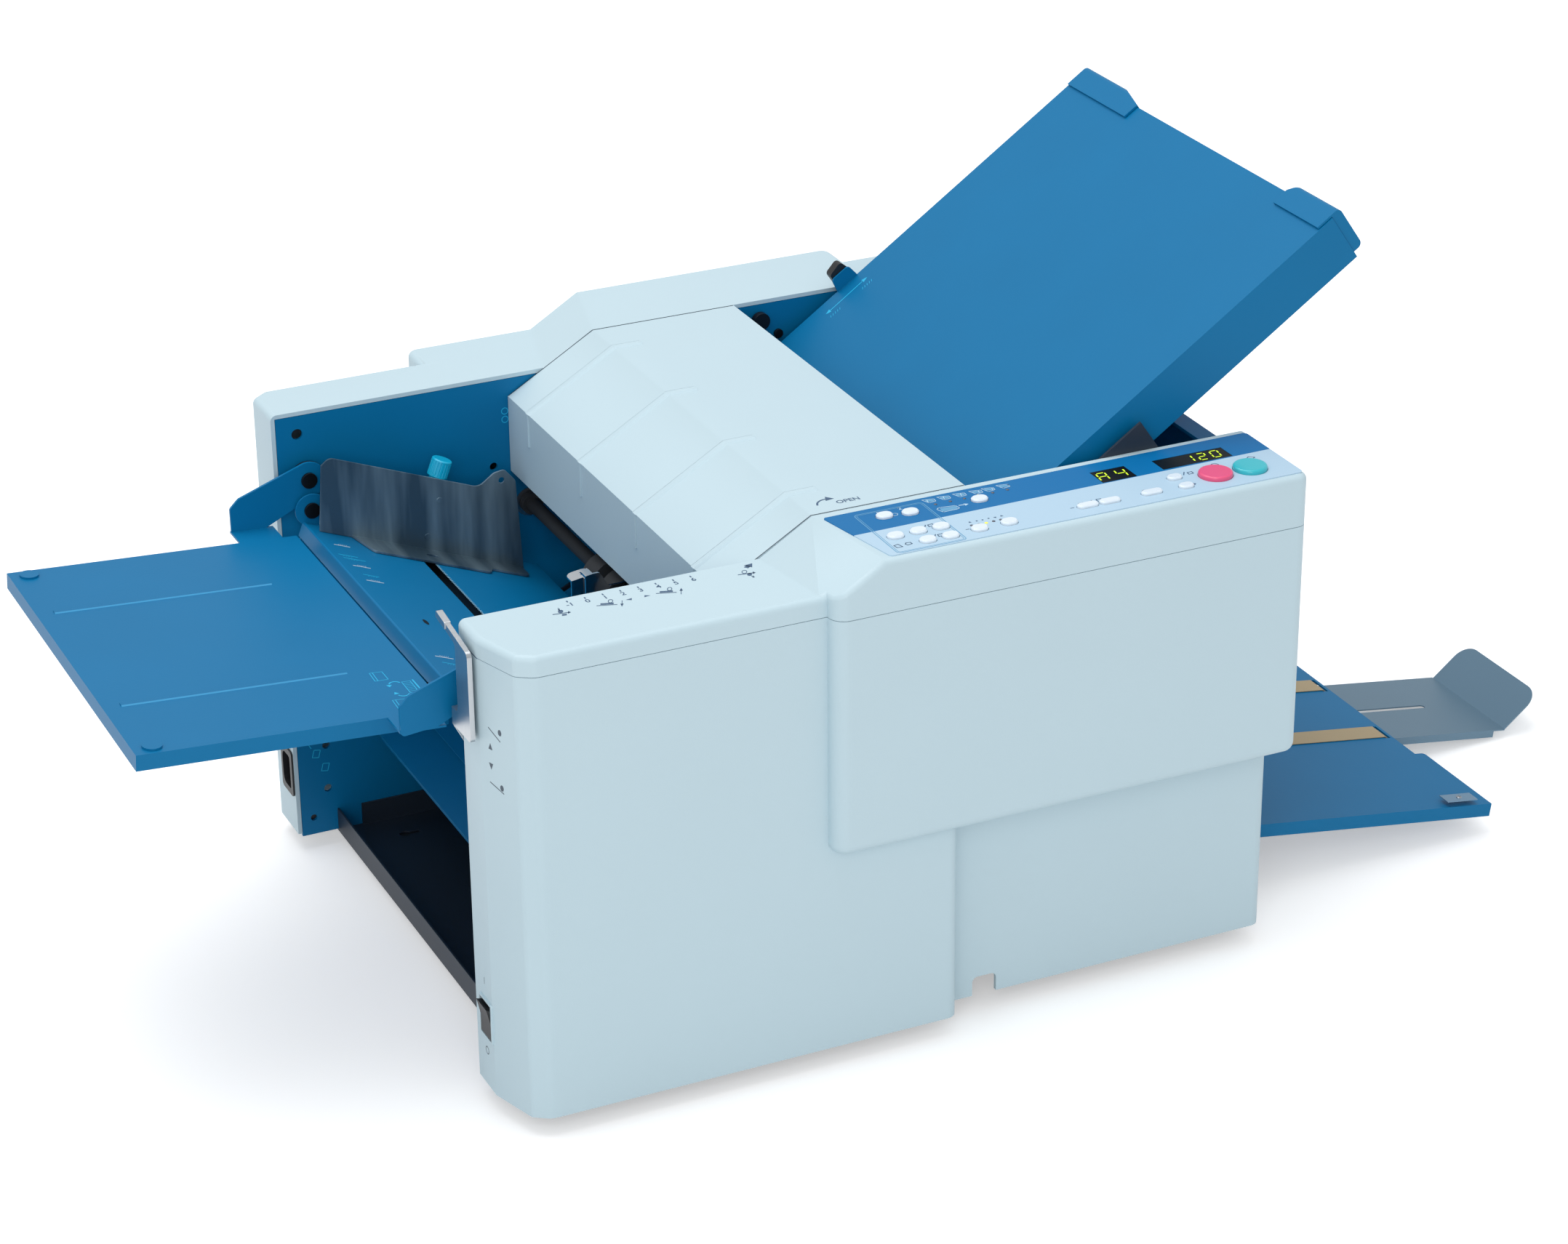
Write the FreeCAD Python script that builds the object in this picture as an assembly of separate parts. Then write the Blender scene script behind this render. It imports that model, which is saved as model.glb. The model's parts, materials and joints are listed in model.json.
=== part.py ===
import FreeCAD, Part
import math
import os
from FreeCAD import Vector

# Desk-top paper folding machine with two buckle plates.
# Model axes, in millimetres: x runs with the paper from the feed tray to the delivery tray,
# y runs across the machine with 0 midway between the side frames, z is up with 0 at the lower
# edge of the covers. Inclined pieces are drawn flat and then laid on their slope.

# ---- side frames and the bay between them
BAY = 365.0             # clear width between the side frames
FRAME_T = 2.5           # side frame plate
FIT = 0.3               # gap between neighbouring pieces
RUN = 0.05              # radial running clearance of a shaft in its hole
WALL = 3.0              # moulded cover wall
SHEET = 1.5             # general sheet metal

# ---- outline of the covers, side view
LEFT_END = -15.0
RIGHT_END = 546.0
LOW_TOP = 329.0         # top beside the feed tray
HIGH_TOP = 351.5        # top beside the rollers
RAMP_FOOT = 190.0       # ramp between the two tops, at the inner edge
RAMP_HEAD = 227.4
SEAM = 315.5            # joint of the front cover and its cap
SEAM_GAP = 0.4
TOP_ROUND = 4.5         # rounding of the upper outer edges

# ---- plan of the front cover
FRONT_DEPTH = 71.75     # side frame to the main front face
CORNER_DEPTH = 52.75    # side frame to the set-back face
CORNER_X = 300.0        # where the set-back face starts
BOX_DEPTH = 83.5        # side frame to the front of the control box
BOX_LEFT = 204.0
BOX_STEP = 3.0          # control box beyond the right end of the covers
BOX_FOOT = 147.0
BOX_ROUND = 8.0
CHAMFER_DEPTH = 29.5    # left end: flat part beside the frame
CHAMFER_FRONT = 64.5
CHAMFER_RUN = 11.0
FRONT_RAMP_DRIFT = 13.0   # how far the ramp moves right at the front edge
HAND_NOTCH = (320.0, 338.0, 14.0)

# ---- plan of the rear cover
REAR_DEPTH = 48.25
REAR_BOX_DEPTH = 77.75
REAR_BOX_LEFT = 113.0
REAR_BOX_RIGHT = 450.0
REAR_BOX_FOOT = 95.0
REAR_RAMP_DRIFT = 20.0

# ---- base
PAN_LEFT_IN = 30.5      # pan inside the ends of the covers
PAN_RIGHT_IN = 16.0
PAN_DROP = 4.0          # underside of the pan below the covers
PAN_OVER = 25.5         # pan beyond the bay on each side
PAN_LIP = 18.5
FOOT_HEIGHT = 10.0
FOOT_R = 12.5
FOOT_INSET_X = 30.0
FOOT_INSET_Y = 14.0

# ---- rollers
NIP_X = 222.0           # first nip, where the paper enters the upper plate
NIP_Z = 200.5
PLATE_1_SLOPE = 34.5    # degrees
LAST_ROLLER_TURN = 13.7  # lean of the last roller from straight below the third
MODULE = 1.0
TEETH = 32
ROLLER_PITCH = MODULE * TEETH
ROLLER_R = ROLLER_PITCH / 2 - 0.15
ROLLER_GAP = 17.5       # end of a roller barrel to the side frame
SHAFT_R = 5.0
BUSH_R = 11.0
BUSH_FLANGE_R = 13.0
BUSH_FLANGE_T = 2.0
BUSH_REACH = 5.5        # length of a bush outwards from the frame's inner face
GEAR_W = 8.0
GEAR_GAP = 2.0          # bush to gear
FEED_X = 175.0
FEED_Z = 228.0
FEED_R = 20.0
FEED_RING_W = 18.0
FEED_RING_STEP = 30.0

# ---- roller drive
PULLEY_R = 20.0
MOTOR_PULLEY_R = 10.0
BELT_T = 1.5
PULLEY_W = 8.0
PULLEY_GAP = 5.0        # gear to pulley
MOTOR_X = 345.0
MOTOR_Z = 200.0
MOTOR_R = 28.0
MOTOR_L = 38.0
MOTOR_SHAFT_R = 4.0
MOTOR_PLATE = 76.0
MOTOR_PLATE_T = 2.0
POST_R = 4.0

# ---- feed deck, its side guides and the feed tray
DECK_SLOPE = -21.5
DECK_X = 0.0
DECK_Z = 253.0
DECK_L = 185.0
DECK_GAP = 16.5         # edge of the deck to the side frame
DECK_FLANGE = 14.0
DECK_LIP = 11.0
SLOT_X = 82.5           # cross slot for the guide screws
SLOT_W = 11.0
SLOT_END = 4.0          # deck left beyond each end of the slot
CHANNEL_W = 21.0
DECK_PIVOT_X = 5.2
DECK_PIVOT_Z = 261.4
LUG_R = 12.0
GUIDE_GAP = 15.5        # outer face of a side guide at its widest setting to the deck edge
GUIDE_FLANGE = 27.0
GUIDE_TRAVEL = 98.0
KNOB_OUT = 7.5          # knob axis outside its guide
KNOB_R = 7.4
KNOB_BASE = 49.5
KNOB_TOP = 66.5
KNURLS = 20
STEM_R = 2.5
TRAY_X = -12.0
TRAY_Z = 251.5
TRAY_SLOPE = -3.55
TRAY_L = 205.0
TRAY_GAP = 20.0         # tray edge to the inside of its arm
TRAY_FLANGE = 11.0
TRAY_PIVOT_X = 5.7
TRAY_PIVOT_Z = 282.4
ARM_GAP = 13.5          # inside of a tray arm to the side frame
ARM_T = 2.0
ARM_R = 13.0
PIVOT_R = 4.0
PIVOT_HEAD_R = 5.7

GUIDE_PROFILE = ((5.4, FIT), (-8.9, 47.0), (-5.0, 53.8, 6), (112.0, 53.8, 8), (120.0, 66.0, 6),
                 (127.0, 70.2, 4), (138.0, 64.0, 5), (167.0, FIT))
GUIDE_FOOT = (30.0, 130.0, 165.0)   # along the deck: start, step and end of the foot flange
GUIDE_STEP = 8.0
GUIDE_SLOT = (88.0, 9.0, 4.0)       # oval hole in the foot: place, length, width
GUIDE_EAR_HOLE = (127.4, 62.0)
GUIDE_RIVETS = ((86.0, 11.0), (86.0, 38.7))
RIVET_R = 2.2
RIVET_RISE = 0.4
TAB_HALF = 9.0
TRAY_KNOB = (357.3, 337.5)
TRAY_SCREW = (373.3, 323.7)
TRAY_TAB = (41.0, 10.0)             # carrying tabs of the tray, from its right edge
TRAY_BUMP = (13.0, 9.0, 6.5)        # pressed bump: from the left edge, from the side, radius
TRAY_RIDGE = (12.0, 43.0, 76.0, 3.0)   # pressed line: from the left edge, from the right edge, y, width
ARM_LINE = ((-2.7, 12.8), (-51.7, -4.9, 5), (-58.2, -11.4, 3), (-58.2, -32.4, 3), (-32.7, -29.9, 3),
            (8.6, -9.8))            # tray arm about its pivot

# ---- skew lever at the left end
LEVER_X = -21.0
LEVER_T = 3.3
LEVER_FACE = (-211.5, -190.5)       # front and back edge of the upright
LEVER_RISE = 4.0        # foot tab above the pin
LEVER_ELBOW = 318.5
LEVER_TIP = (-160.0, 326.5)
LEVER_LEG_W = 4.0
LEVER_TAB = 12.0
LEVER_DROP = 14.0       # slotted leg below the pin
LEVER_LEG = (5.0, 4.6)
LEVER_SLOT_HALF = 2.3
LEVER_TRAVEL = 6.0

# ---- paper separator, hung from the tie rod above the feed rings
NOSE_LEFT = (128.2, 255.0)          # front fold of the nose, left and right ends (x, z)
NOSE_RIGHT = (144.0, 257.4)
NOSE_FOOT = 233.0
NOSE_HALF = FEED_RING_W / 2 + 3.5   # front face of the nose, its side plate clears the middle feed ring
NOSE_BACK = -0.3
NOSE_T = 1.6
NOSE_SLIT = (136.6, 138.4)
NOSE_SLIT_FOOT = 238.0
ARM_DIP = 246.5                     # the arm passes below the top cover here
ARM_BELLY = (158.0, 239.0)          # lowest corner of the arm, beside the ring
PAD = ((138.0, 254.5), (144.0, 257.0), (153.5, 242.5), (149.5, 239.5))
PAD_BACK = 1.0

# ---- upper buckle plate
NIP_TO_PLATE = 50.0
PLATE_1_L = 437.0
PLATE_1_GAP = 9.25      # plate edge to the side frame
PLATE_1_DEPTH = 37.0
PAPER_GAP = 3.5
PLATE_1_GAP_LEVEL = 14.0   # middle of the paper gap below the top sheet
GUIDE_ROD_R = 4.0
ROD_LEVEL = 27.0
RAIL_1 = (25.0, 250.0)  # rails along the upper plate
RAIL_1_RISE = 25.0
RAIL_LEDGE = 5.0        # rail under the plate's edge
RAIL_T = 2.0
STOP_1_AT = 390.0
STOP_1_TRAVEL = 330.0
STOP_GAP = 21.0         # stop bar inside the narrower plate
CLAMP_AT = 206.0
CLAMP_UP = 5.0
CAP_OVER = 8.0          # how far the end caps stand past the plate

# ---- lower buckle plate
PLATE_2_X = 45.0
PLATE_2_Z = 77.0
PLATE_2_SLOPE = 26.5
PLATE_2_L = 202.0
PLATE_2_GAP = 11.5
PLATE_2_DEPTH = 14.0
PLATE_2_T = 1.2
PLATE_2_SETBACK = 32.0  # bare end of the lower sheet
ROD_2_R = 3.0
ROD_2_LEVEL = 8.0
STOP_2_AT = 50.0
STOP_2_TRAVEL = 120.0
RAIL_2 = (40.0, 195.0)
RAIL_2_RISE = 16.0

# ---- top cover
COVER_X = 161.0
COVER_FOOT = 255.0
COVER_KNEE = 312.6
COVER_END = 338.0
COVER_TAIL = 13.5
COVER_T = 2.5
COVER_GAP = 0.5
COVER_PIN_X = 333.0
COVER_PIN_Z = 343.0
COVER_PIN_R = 3.0
RIB_W = 4.0
RIB_H = 1.0
RIB_STEP = 96.0
RIB_FOOT = 288.0
RIB_HEAD = 248.5

# ---- delivery
CHUTE_TOP = (286.0, 172.0)
CHUTE_OVER = 2.0        # chute end beyond the covers
CHUTE_END_Z = 52.0
DRIVE_OUT = 10.0        # conveyor shaft beyond the covers
EAR_R = 10.0            # frame ear round the shaft
DRIVE_Z = 37.5
OUT_SLOPE = -8.36
OUT_GAP = 9.0           # tray edge to the side frame
OUT_L = 216.0
OUT_FRONT_L = 224.0     # the front third is a little longer
OUT_FRONT_Y = -84.0
OUT_TOP = 5.5           # tray surface above the drive shaft
OUT_FLANGE = 10.0
DRIVE_R = 4.0
DRUM_R = 5.5
BELT_Y = 44.0
BELT_W = 19.0
STRAP_T = 0.6           # conveyor belt
NOSE_X = 209.0
GUIDE_BAR_X = 62.0
GUIDE_BAR_R = 3.0
STOPPER_HALF = 50.0
STOPPER_IN = 165.0
STOPPER_OUT = 322.0
STOPPER_UP = 38.0
STOPPER_LEAN = 47.0
STOPPER_TRAVEL = 75.0
STOPPER_SLOT = (180.0, 281.0)
STOPPER_PINS = (183.0, 201.0)
STRAPS = ((172.0, 180.0), (203.0, 208.5))

# ---- control panel, measured from the head of the ramp and from the bay
PANEL_SPAN = 321.6      # length of control box that the keys are laid out for
PANEL_T = 0.6
KEY_GAP = 0.3
KEY_RISE = 2.0
KEY_TRAVEL = 1.0
KEY_BAR_T = 2.0
ROUND_KEY_R = 11.5
OVAL = (11.5, 9.0)
OBLONG = (15.0, 6.5)
SMALL = (10.5, 7.5)
KEYS = {
    "address_keys": (OVAL, [(41.1, -22.2), (58.5, -24.3)]),
    "size_keys": (OVAL, [(33.5, -53.3), (49.9, -52.9), (65.9, -53.1)]),
    "fold_shift_keys": (OVAL, [(49.2, -67.7), (65.1, -68.1)]),
    "fold_mode_key": (OVAL, [(107.8, -25.5)]),
    "step_keys": (OVAL, [(86.6, -66.4), (108.1, -65.9)]),
    "count_keys": (OBLONG, [(165.5, -64.9), (181.6, -65.1)]),
    "clear_key": (OBLONG, [(212.7, -64.9)]),
    "test_key": (SMALL, [(237.8, -50.5)]),
    "batch_key": (SMALL, [(237.9, -65.7)]),
}
STOP_KEY = (264.4, -57.9)
START_KEY = (290.1, -58.5)
DISPLAYS = ((192.6, 217.6, -36.7, -18.7), (238.6, 290.6, -35.2, -19.7))
DISPLAY_DEPTH = 9.0
PANEL_EDGE = 2.8        # panel film inside the end of the control box
PANEL_LEFT = ((17.7, -78.5), (4.3, -7.3))
PANEL_BACK = -5.0

# ---- mains switch and inlet
ROCKER_Y = -201.0
ROCKER_Z = 52.0
ROCKER_W = 18.0
ROCKER_H = 24.0
ROCKER_IN = 4.0         # pivot behind the end face
ROCKER_TILT = 6.0
INLET_Y = 196.0
INLET_Z = 48.0
INLET_W = 20.0
INLET_H = 30.0

# ---- values that follow from the sizes above
HALF = BAY / 2
FRAME_OUT = HALF + FRAME_T
ROLLER_HALF = HALF - ROLLER_GAP
DECK_HALF = HALF - DECK_GAP
SLOT_HALF = DECK_HALF - SLOT_END
GUIDE_HALF = DECK_HALF - GUIDE_GAP
KNOB_Y = GUIDE_HALF + KNOB_OUT
ARM_IN = HALF - ARM_GAP
TRAY_HALF = ARM_IN - TRAY_GAP
PLATE_1_HALF = HALF - PLATE_1_GAP
PLATE_2_HALF = HALF - PLATE_2_GAP
STOP_HALF = PLATE_2_HALF - STOP_GAP
OUT_HALF = HALF - OUT_GAP
PAN_HALF = HALF + PAN_OVER
PAN_LEFT = LEFT_END + PAN_LEFT_IN
PAN_RIGHT = RIGHT_END - PAN_RIGHT_IN
BOX_RIGHT = RIGHT_END + BOX_STEP
SPREAD = (BOX_RIGHT - RAMP_HEAD) / PANEL_SPAN
CHUTE_END = (RIGHT_END + CHUTE_OVER, CHUTE_END_Z)
DRIVE_X = RIGHT_END + DRIVE_OUT
RAMP_LAG = REAR_RAMP_DRIFT * FRAME_T / REAR_BOX_DEPTH   # keeps the frames clear of the drifting ramps
INSET = WALL + FIT
RAMP_SLOPE = math.atan2(HIGH_TOP - LOW_TOP, RAMP_HEAD - RAMP_FOOT)
PAN_TOP = SHEET - PAN_DROP
ORIGIN = Vector(0, 0, 0)


def along(slope, run, rise=0.0):
    """World (x, z) of a point given along and square to a line of that slope in degrees."""
    turn = math.radians(slope)
    return (run * math.cos(turn) - rise * math.sin(turn), run * math.sin(turn) + rise * math.cos(turn))


def beyond(start, slope, run, rise=0.0):
    """World (x, z) reached from a start point along and square to a slope."""
    dx, dz = along(slope, run, rise)
    return (start[0] + dx, start[1] + dz)


NIP = (NIP_X, NIP_Z)
ROLLER_1 = beyond(NIP, PLATE_1_SLOPE, 0, ROLLER_PITCH / 2)
ROLLER_2 = beyond(NIP, PLATE_1_SLOPE, 0, -ROLLER_PITCH / 2)
ROLLER_3 = beyond(ROLLER_2, PLATE_1_SLOPE, ROLLER_PITCH)
ROLLER_4 = beyond(ROLLER_3, LAST_ROLLER_TURN - 90.0, ROLLER_PITCH)
ROLLERS = (ROLLER_1, ROLLER_2, ROLLER_3, ROLLER_4)
FEED = (FEED_X, FEED_Z)
PLATE_1 = beyond(NIP, PLATE_1_SLOPE, NIP_TO_PLATE, PLATE_1_GAP_LEVEL)
PLATE_2 = (PLATE_2_X, PLATE_2_Z)
DRIVE = (DRIVE_X, DRIVE_Z)
DECK = (DECK_X, DECK_Z)
TRAY = (TRAY_X, TRAY_Z)
DECK_PIVOT = (DECK_PIVOT_X, DECK_PIVOT_Z)
TRAY_PIVOT = (TRAY_PIVOT_X, TRAY_PIVOT_Z)
COVER_PIN = (COVER_PIN_X, COVER_PIN_Z)
TIE_RODS = ((120.0, 40.0), (250.0, 110.0), (480.0, 45.0), (480.0, 330.0), (200.0, 265.0))
TIE_R = 6.0
GEAR_IN = HALF + BUSH_REACH + GEAR_GAP
GEAR_OUT = GEAR_IN + GEAR_W
PULLEY_IN = GEAR_OUT + PULLEY_GAP
PULLEY_OUT = PULLEY_IN + PULLEY_W
LEVER_PIN = (-7.0, 253.0)
LEVER_FOOT = LEVER_PIN[1] + LEVER_RISE


# ---------------------------------------------------------------- drawing helpers
def outline(points, lift):
    """Closed wire through (a, b) or (a, b, radius) corners; lift places a flat point in space."""
    corners = [Vector(p[0], p[1], 0) for p in points]
    stations = []
    for i, point in enumerate(points):
        corner = corners[i]
        if len(point) < 3 or not point[2]:
            stations.append((corner, None, corner))
            continue
        back = (corners[i - 1] - corner).normalize()
        ahead = (corners[(i + 1) % len(corners)] - corner).normalize()
        half = back.getAngle(ahead) / 2
        reach = point[2] / math.tan(half)
        middle = corner + (back + ahead).normalize() * (point[2] / math.sin(half) - point[2])
        stations.append((corner + back * reach, middle, corner + ahead * reach))
    edges = []
    for i, (start, middle, end) in enumerate(stations):
        if middle:
            edges.append(Part.Arc(lift(start), lift(middle), lift(end)).toShape())
        following = stations[(i + 1) % len(stations)][0]
        if (following - end).Length > 1e-6:
            edges.append(Part.makeLine(lift(end), lift(following)))
    return Part.Wire(edges)


def side_prism(points, y0, y1):
    """Side-view profile in x and z, pushed from y0 to y1."""
    face = Part.Face(outline(points, lambda p: Vector(p.x, y0, p.y)))
    return face.extrude(Vector(0, y1 - y0, 0))


def plan_prism(points, z0, z1):
    """Plan profile in x and y, pushed from z0 to z1."""
    face = Part.Face(outline(points, lambda p: Vector(p.x, p.y, z0)))
    return face.extrude(Vector(0, 0, z1 - z0))


def end_prism(points, x0, x1):
    """End-view profile in y and z, pushed from x0 to x1."""
    face = Part.Face(outline(points, lambda p: Vector(x0, p.x, p.y)))
    return face.extrude(Vector(x1 - x0, 0, 0))


def block(x0, x1, y0, y1, z0, z1):
    return Part.makeBox(x1 - x0, y1 - y0, z1 - z0, Vector(x0, y0, z0))


def rod(centre, radius, y0, y1):
    """Cylinder across the machine about an (x, z) centre."""
    return Part.makeCylinder(radius, y1 - y0, Vector(centre[0], y0, centre[1]), Vector(0, 1, 0))


def ring(centre, radius, bore, y0, y1):
    return rod(centre, radius, y0, y1).cut(rod(centre, bore, y0 - 1, y1 + 1))


def post(x, y, radius, z0, z1):
    return Part.makeCylinder(radius, z1 - z0, Vector(x, y, z0))


def join(*shapes):
    return shapes[0].fuse(list(shapes[1:])).removeSplitter()


def mirrored(shape):
    return shape.mirror(Vector(0, 0, 0), Vector(0, 1, 0))


def both(shape):
    """The piece and its mirror image on the other side of the machine."""
    return [shape, mirrored(shape)]


def group(shapes):
    return Part.makeCompound(list(shapes))


def lay(shape, start, slope):
    """Turn a piece drawn flat onto its slope (positive raises +x) and set its origin at start."""
    placed = shape.copy()
    placed.rotate(Vector(0, 0, 0), Vector(0, 1, 0), -slope)
    placed.translate(Vector(start[0], 0, start[1]))
    return placed


def local(point, start, slope):
    """Flat (run, rise) of a world (x, z) point seen from a sloped piece."""
    return along(-slope, point[0] - start[0], point[1] - start[1])


def strip(points, thickness):
    """Closed profile of a folded sheet: the given line and its offset to the right of travel."""
    normals = []
    for (ax, ay), (bx, by) in zip(points, points[1:]):
        length = math.hypot(bx - ax, by - ay)
        normals.append(((by - ay) / length, -(bx - ax) / length))
    inner = []
    for i, (px, py) in enumerate(points):
        first = normals[max(i - 1, 0)]
        second = normals[min(i, len(normals) - 1)]
        mx, my = first[0] + second[0], first[1] + second[1]
        scale = 2 * thickness / (mx * mx + my * my)
        inner.append((px + mx * scale, py + my * scale))
    return list(points) + inner[::-1]


def belt_loop(first, first_r, second, second_r, y0, y1):
    """Solid filling the outline of a belt round two wheels."""
    span = math.hypot(second[0] - first[0], second[1] - first[1])
    heading = math.atan2(second[1] - first[1], second[0] - first[0])
    spread = math.acos((first_r - second_r) / span)

    def at(centre, radius, angle):
        return Vector(centre[0] + radius * math.cos(angle), y0, centre[1] + radius * math.sin(angle))
    a, b = at(first, first_r, heading + spread), at(second, second_r, heading + spread)
    c, d = at(second, second_r, heading - spread), at(first, first_r, heading - spread)
    edges = [Part.makeLine(a, b), Part.Arc(b, at(second, second_r, heading), c).toShape(),
             Part.makeLine(c, d), Part.Arc(d, at(first, first_r, heading + math.pi), a).toShape()]
    return Part.Face(Part.Wire(edges)).extrude(Vector(0, y1 - y0, 0))


def stadium(x, y, width, depth, z0, z1):
    """Upright oval block, the long way along x."""
    radius = depth / 2
    reach = width / 2 - radius
    return join(block(x - reach, x + reach, y - radius, y + radius, z0, z1),
                post(x - reach, y, radius, z0, z1), post(x + reach, y, radius, z0, z1))


def grown(box_sizes, gap):
    x0, x1, y0, y1 = box_sizes
    return (x0 - gap, x1 + gap, y0 - gap, y1 + gap)


def round_edges(shape, radius, wanted):
    return shape.makeFillet(radius, [edge for edge in shape.Edges if wanted(edge)])


# ---------------------------------------------------------------- frames and base
def ramp_outline(inset, foot):
    """Side view of the covers drawn in by an inset, from the given bottom level."""
    drift = inset * math.tan(RAMP_SLOPE / 2) + RAMP_LAG
    left, right = LEFT_END + inset, RIGHT_END - inset
    return [(left, foot), (left, LOW_TOP - inset), (RAMP_FOOT + drift, LOW_TOP - inset),
            (RAMP_HEAD + drift, HIGH_TOP - inset), (right, HIGH_TOP - inset), (right, foot)]


def ear(gap):
    """Ear of a side frame that carries the conveyor shaft, or the opening that clears it."""
    left, right = RIGHT_END - 3 * EAR_R, DRIVE_X + EAR_R + gap
    return side_prism([(left, DRIVE_Z - 1.5 * EAR_R - gap), (left, DRIVE_Z + 3 * EAR_R + gap),
                       (right, DRIVE_Z + EAR_R + gap, EAR_R / 2),
                       (right, DRIVE_Z - 1.5 * EAR_R - gap, EAR_R / 2)], HALF - gap, FRAME_OUT + gap)


def side_frame():
    """Front side plate, shared by both sides: outline, delivery ear and bearing holes."""
    plate = join(side_prism(ramp_outline(INSET, PAN_TOP), HALF, FRAME_OUT), ear(0))
    holes = [rod(centre, BUSH_R, HALF - 1, FRAME_OUT + 1) for centre in ROLLERS + (FEED,)]
    holes.append(rod(DRIVE, DRIVE_R + RUN, HALF - 1, FRAME_OUT + 1))
    return plate.cut(holes)


def rear_side_frame():
    """Rear plate with its sight and fixing holes."""
    holes = [rod(centre, radius, HALF - 1, FRAME_OUT + 1) for centre, radius in
             (((3.6, 312.0), 4.0), ((148.3, 260.2), 3.0), ((-2.4, 10.9), 2.5), ((9.7, 32.5), 3.0),
              ((10.3, 67.3), 3.0))]
    return side_frame().cut(holes)


def front_side_frame():
    return mirrored(side_frame())


def foot_places():
    return [(x, y) for x in (PAN_LEFT + FOOT_INSET_X, PAN_RIGHT - FOOT_INSET_X)
            for y in (PAN_HALF - FOOT_INSET_Y, FOOT_INSET_Y - PAN_HALF)]


def base_pan():
    """Pressed pan: floor under both covers, turned-up lips between the frames, hanging slots."""
    floor = plan_prism([(PAN_LEFT, -PAN_HALF, 6), (PAN_RIGHT, -PAN_HALF, 6), (PAN_RIGHT, PAN_HALF, 6),
                        (PAN_LEFT, PAN_HALF, 6)], -PAN_DROP, PAN_TOP)
    left = block(PAN_LEFT, PAN_LEFT + SHEET, -HALF + FIT, HALF - FIT, -PAN_DROP, PAN_LIP - PAN_DROP)
    right = block(PAN_RIGHT - SHEET, PAN_RIGHT, -HALF + FIT, HALF - FIT, -PAN_DROP, PAN_LIP - PAN_DROP)
    sides = both(block(PAN_LEFT + PAN_LIP, PAN_RIGHT - PAN_LIP, HALF - SHEET, HALF, PAN_TOP,
                       PAN_LIP - PAN_DROP))
    slots = []
    for y in (-154.0, 154.0):
        slots += [post(56.6, y, 4, -PAN_DROP - 1, PAN_TOP + 1),
                  block(56.6, 68.0, y - 2, y + 2, -PAN_DROP - 1, PAN_TOP + 1)]
    return join(floor, left, right, *sides).cut(slots)


def rubber_feet():
    feet = []
    for x, y in foot_places():
        low = -PAN_DROP - FOOT_HEIGHT
        cone = Part.makeCone(FOOT_R - 2, FOOT_R, FOOT_HEIGHT, Vector(x, y, low))
        feet.append(cone.cut(post(x, y, 3.5, low - 1, low + 4)))
    return group(feet)


def tie_rods():
    return group(rod(centre, TIE_R, -HALF, HALF) for centre in TIE_RODS)


def right_end_plate():
    """Cross plate above the delivery, with folded upper and lower lips."""
    outer = RIGHT_END - 2.5
    foot, top = 150.0, HIGH_TOP - 13.5
    return side_prism(strip([(outer - 14, foot), (outer, foot), (outer, top), (outer - 14, top)][::-1],
                            FRAME_T), -HALF, HALF)


def delivery_chute():
    """Sloping sheet from the last rollers to the delivery, with a curled inlet and outlet."""
    (x0, z0), (x1, z1) = CHUTE_TOP, CHUTE_END
    line = [(x0 + 1, z0 - 9), (x0, z0), (x1 - 6, z1 + 2.8), (x1, z1), (x1, z1 - 6)]
    return side_prism(strip(line, SHEET), -HALF, HALF)


# ---------------------------------------------------------------- covers
def ramp_cutter(outer_y, drift, drop):
    """Volume above the lower top and the ramp; the ramp drifts along x across the cover."""
    side = 1 if outer_y > 0 else -1
    over = 6.0
    depth = abs(outer_y) - HALF
    top, left = HIGH_TOP + 20, LEFT_END - 40
    reach = RAMP_FOOT + (top - LOW_TOP) / math.tan(RAMP_SLOPE)
    start = Vector(-drift * over / depth + drop * math.tan(RAMP_SLOPE / 2), side * (HALF - over), -drop)
    face = Part.Face(outline([(left, LOW_TOP), (RAMP_FOOT, LOW_TOP), (reach, top), (left, top)],
                             lambda p: Vector(p.x, 0, p.y)))
    face.translate(start)
    return face.extrude(Vector(drift * (1 + 2 * over / depth), side * (depth + 2 * over), 0))


def front_plan(inset, box_only=False):
    """Plan of the front cover drawn in by an inset; the inner side is left open."""
    inner = -HALF if not inset else -HALF + 1
    left, front = LEFT_END + inset, -HALF - FRONT_DEPTH + inset
    slant = inset * 0.55
    round_in = max(12.0 - inset, 1.0)
    end = [(left, inner), (left, -HALF - CHAMFER_DEPTH + inset * 0.15),
           (LEFT_END + CHAMFER_RUN + inset, -HALF - CHAMFER_FRONT + slant, round_in / 2),
           (LEFT_END + 2 * CHAMFER_RUN + inset, front, round_in)]
    if box_only:
        box_front = -HALF - BOX_DEPTH + inset
        return end + [(BOX_LEFT + inset, front), (BOX_LEFT + inset, box_front, BOX_ROUND + 3 - inset),
                      (BOX_RIGHT - inset, box_front, BOX_ROUND - inset), (BOX_RIGHT - inset, inner)]
    corner = -HALF - CORNER_DEPTH + inset
    return end + [(CORNER_X - inset, front, BOX_ROUND - inset / 2), (CORNER_X - inset, corner),
                  (RIGHT_END - inset, corner, BOX_ROUND - inset), (RIGHT_END - inset, inner)]


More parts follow.
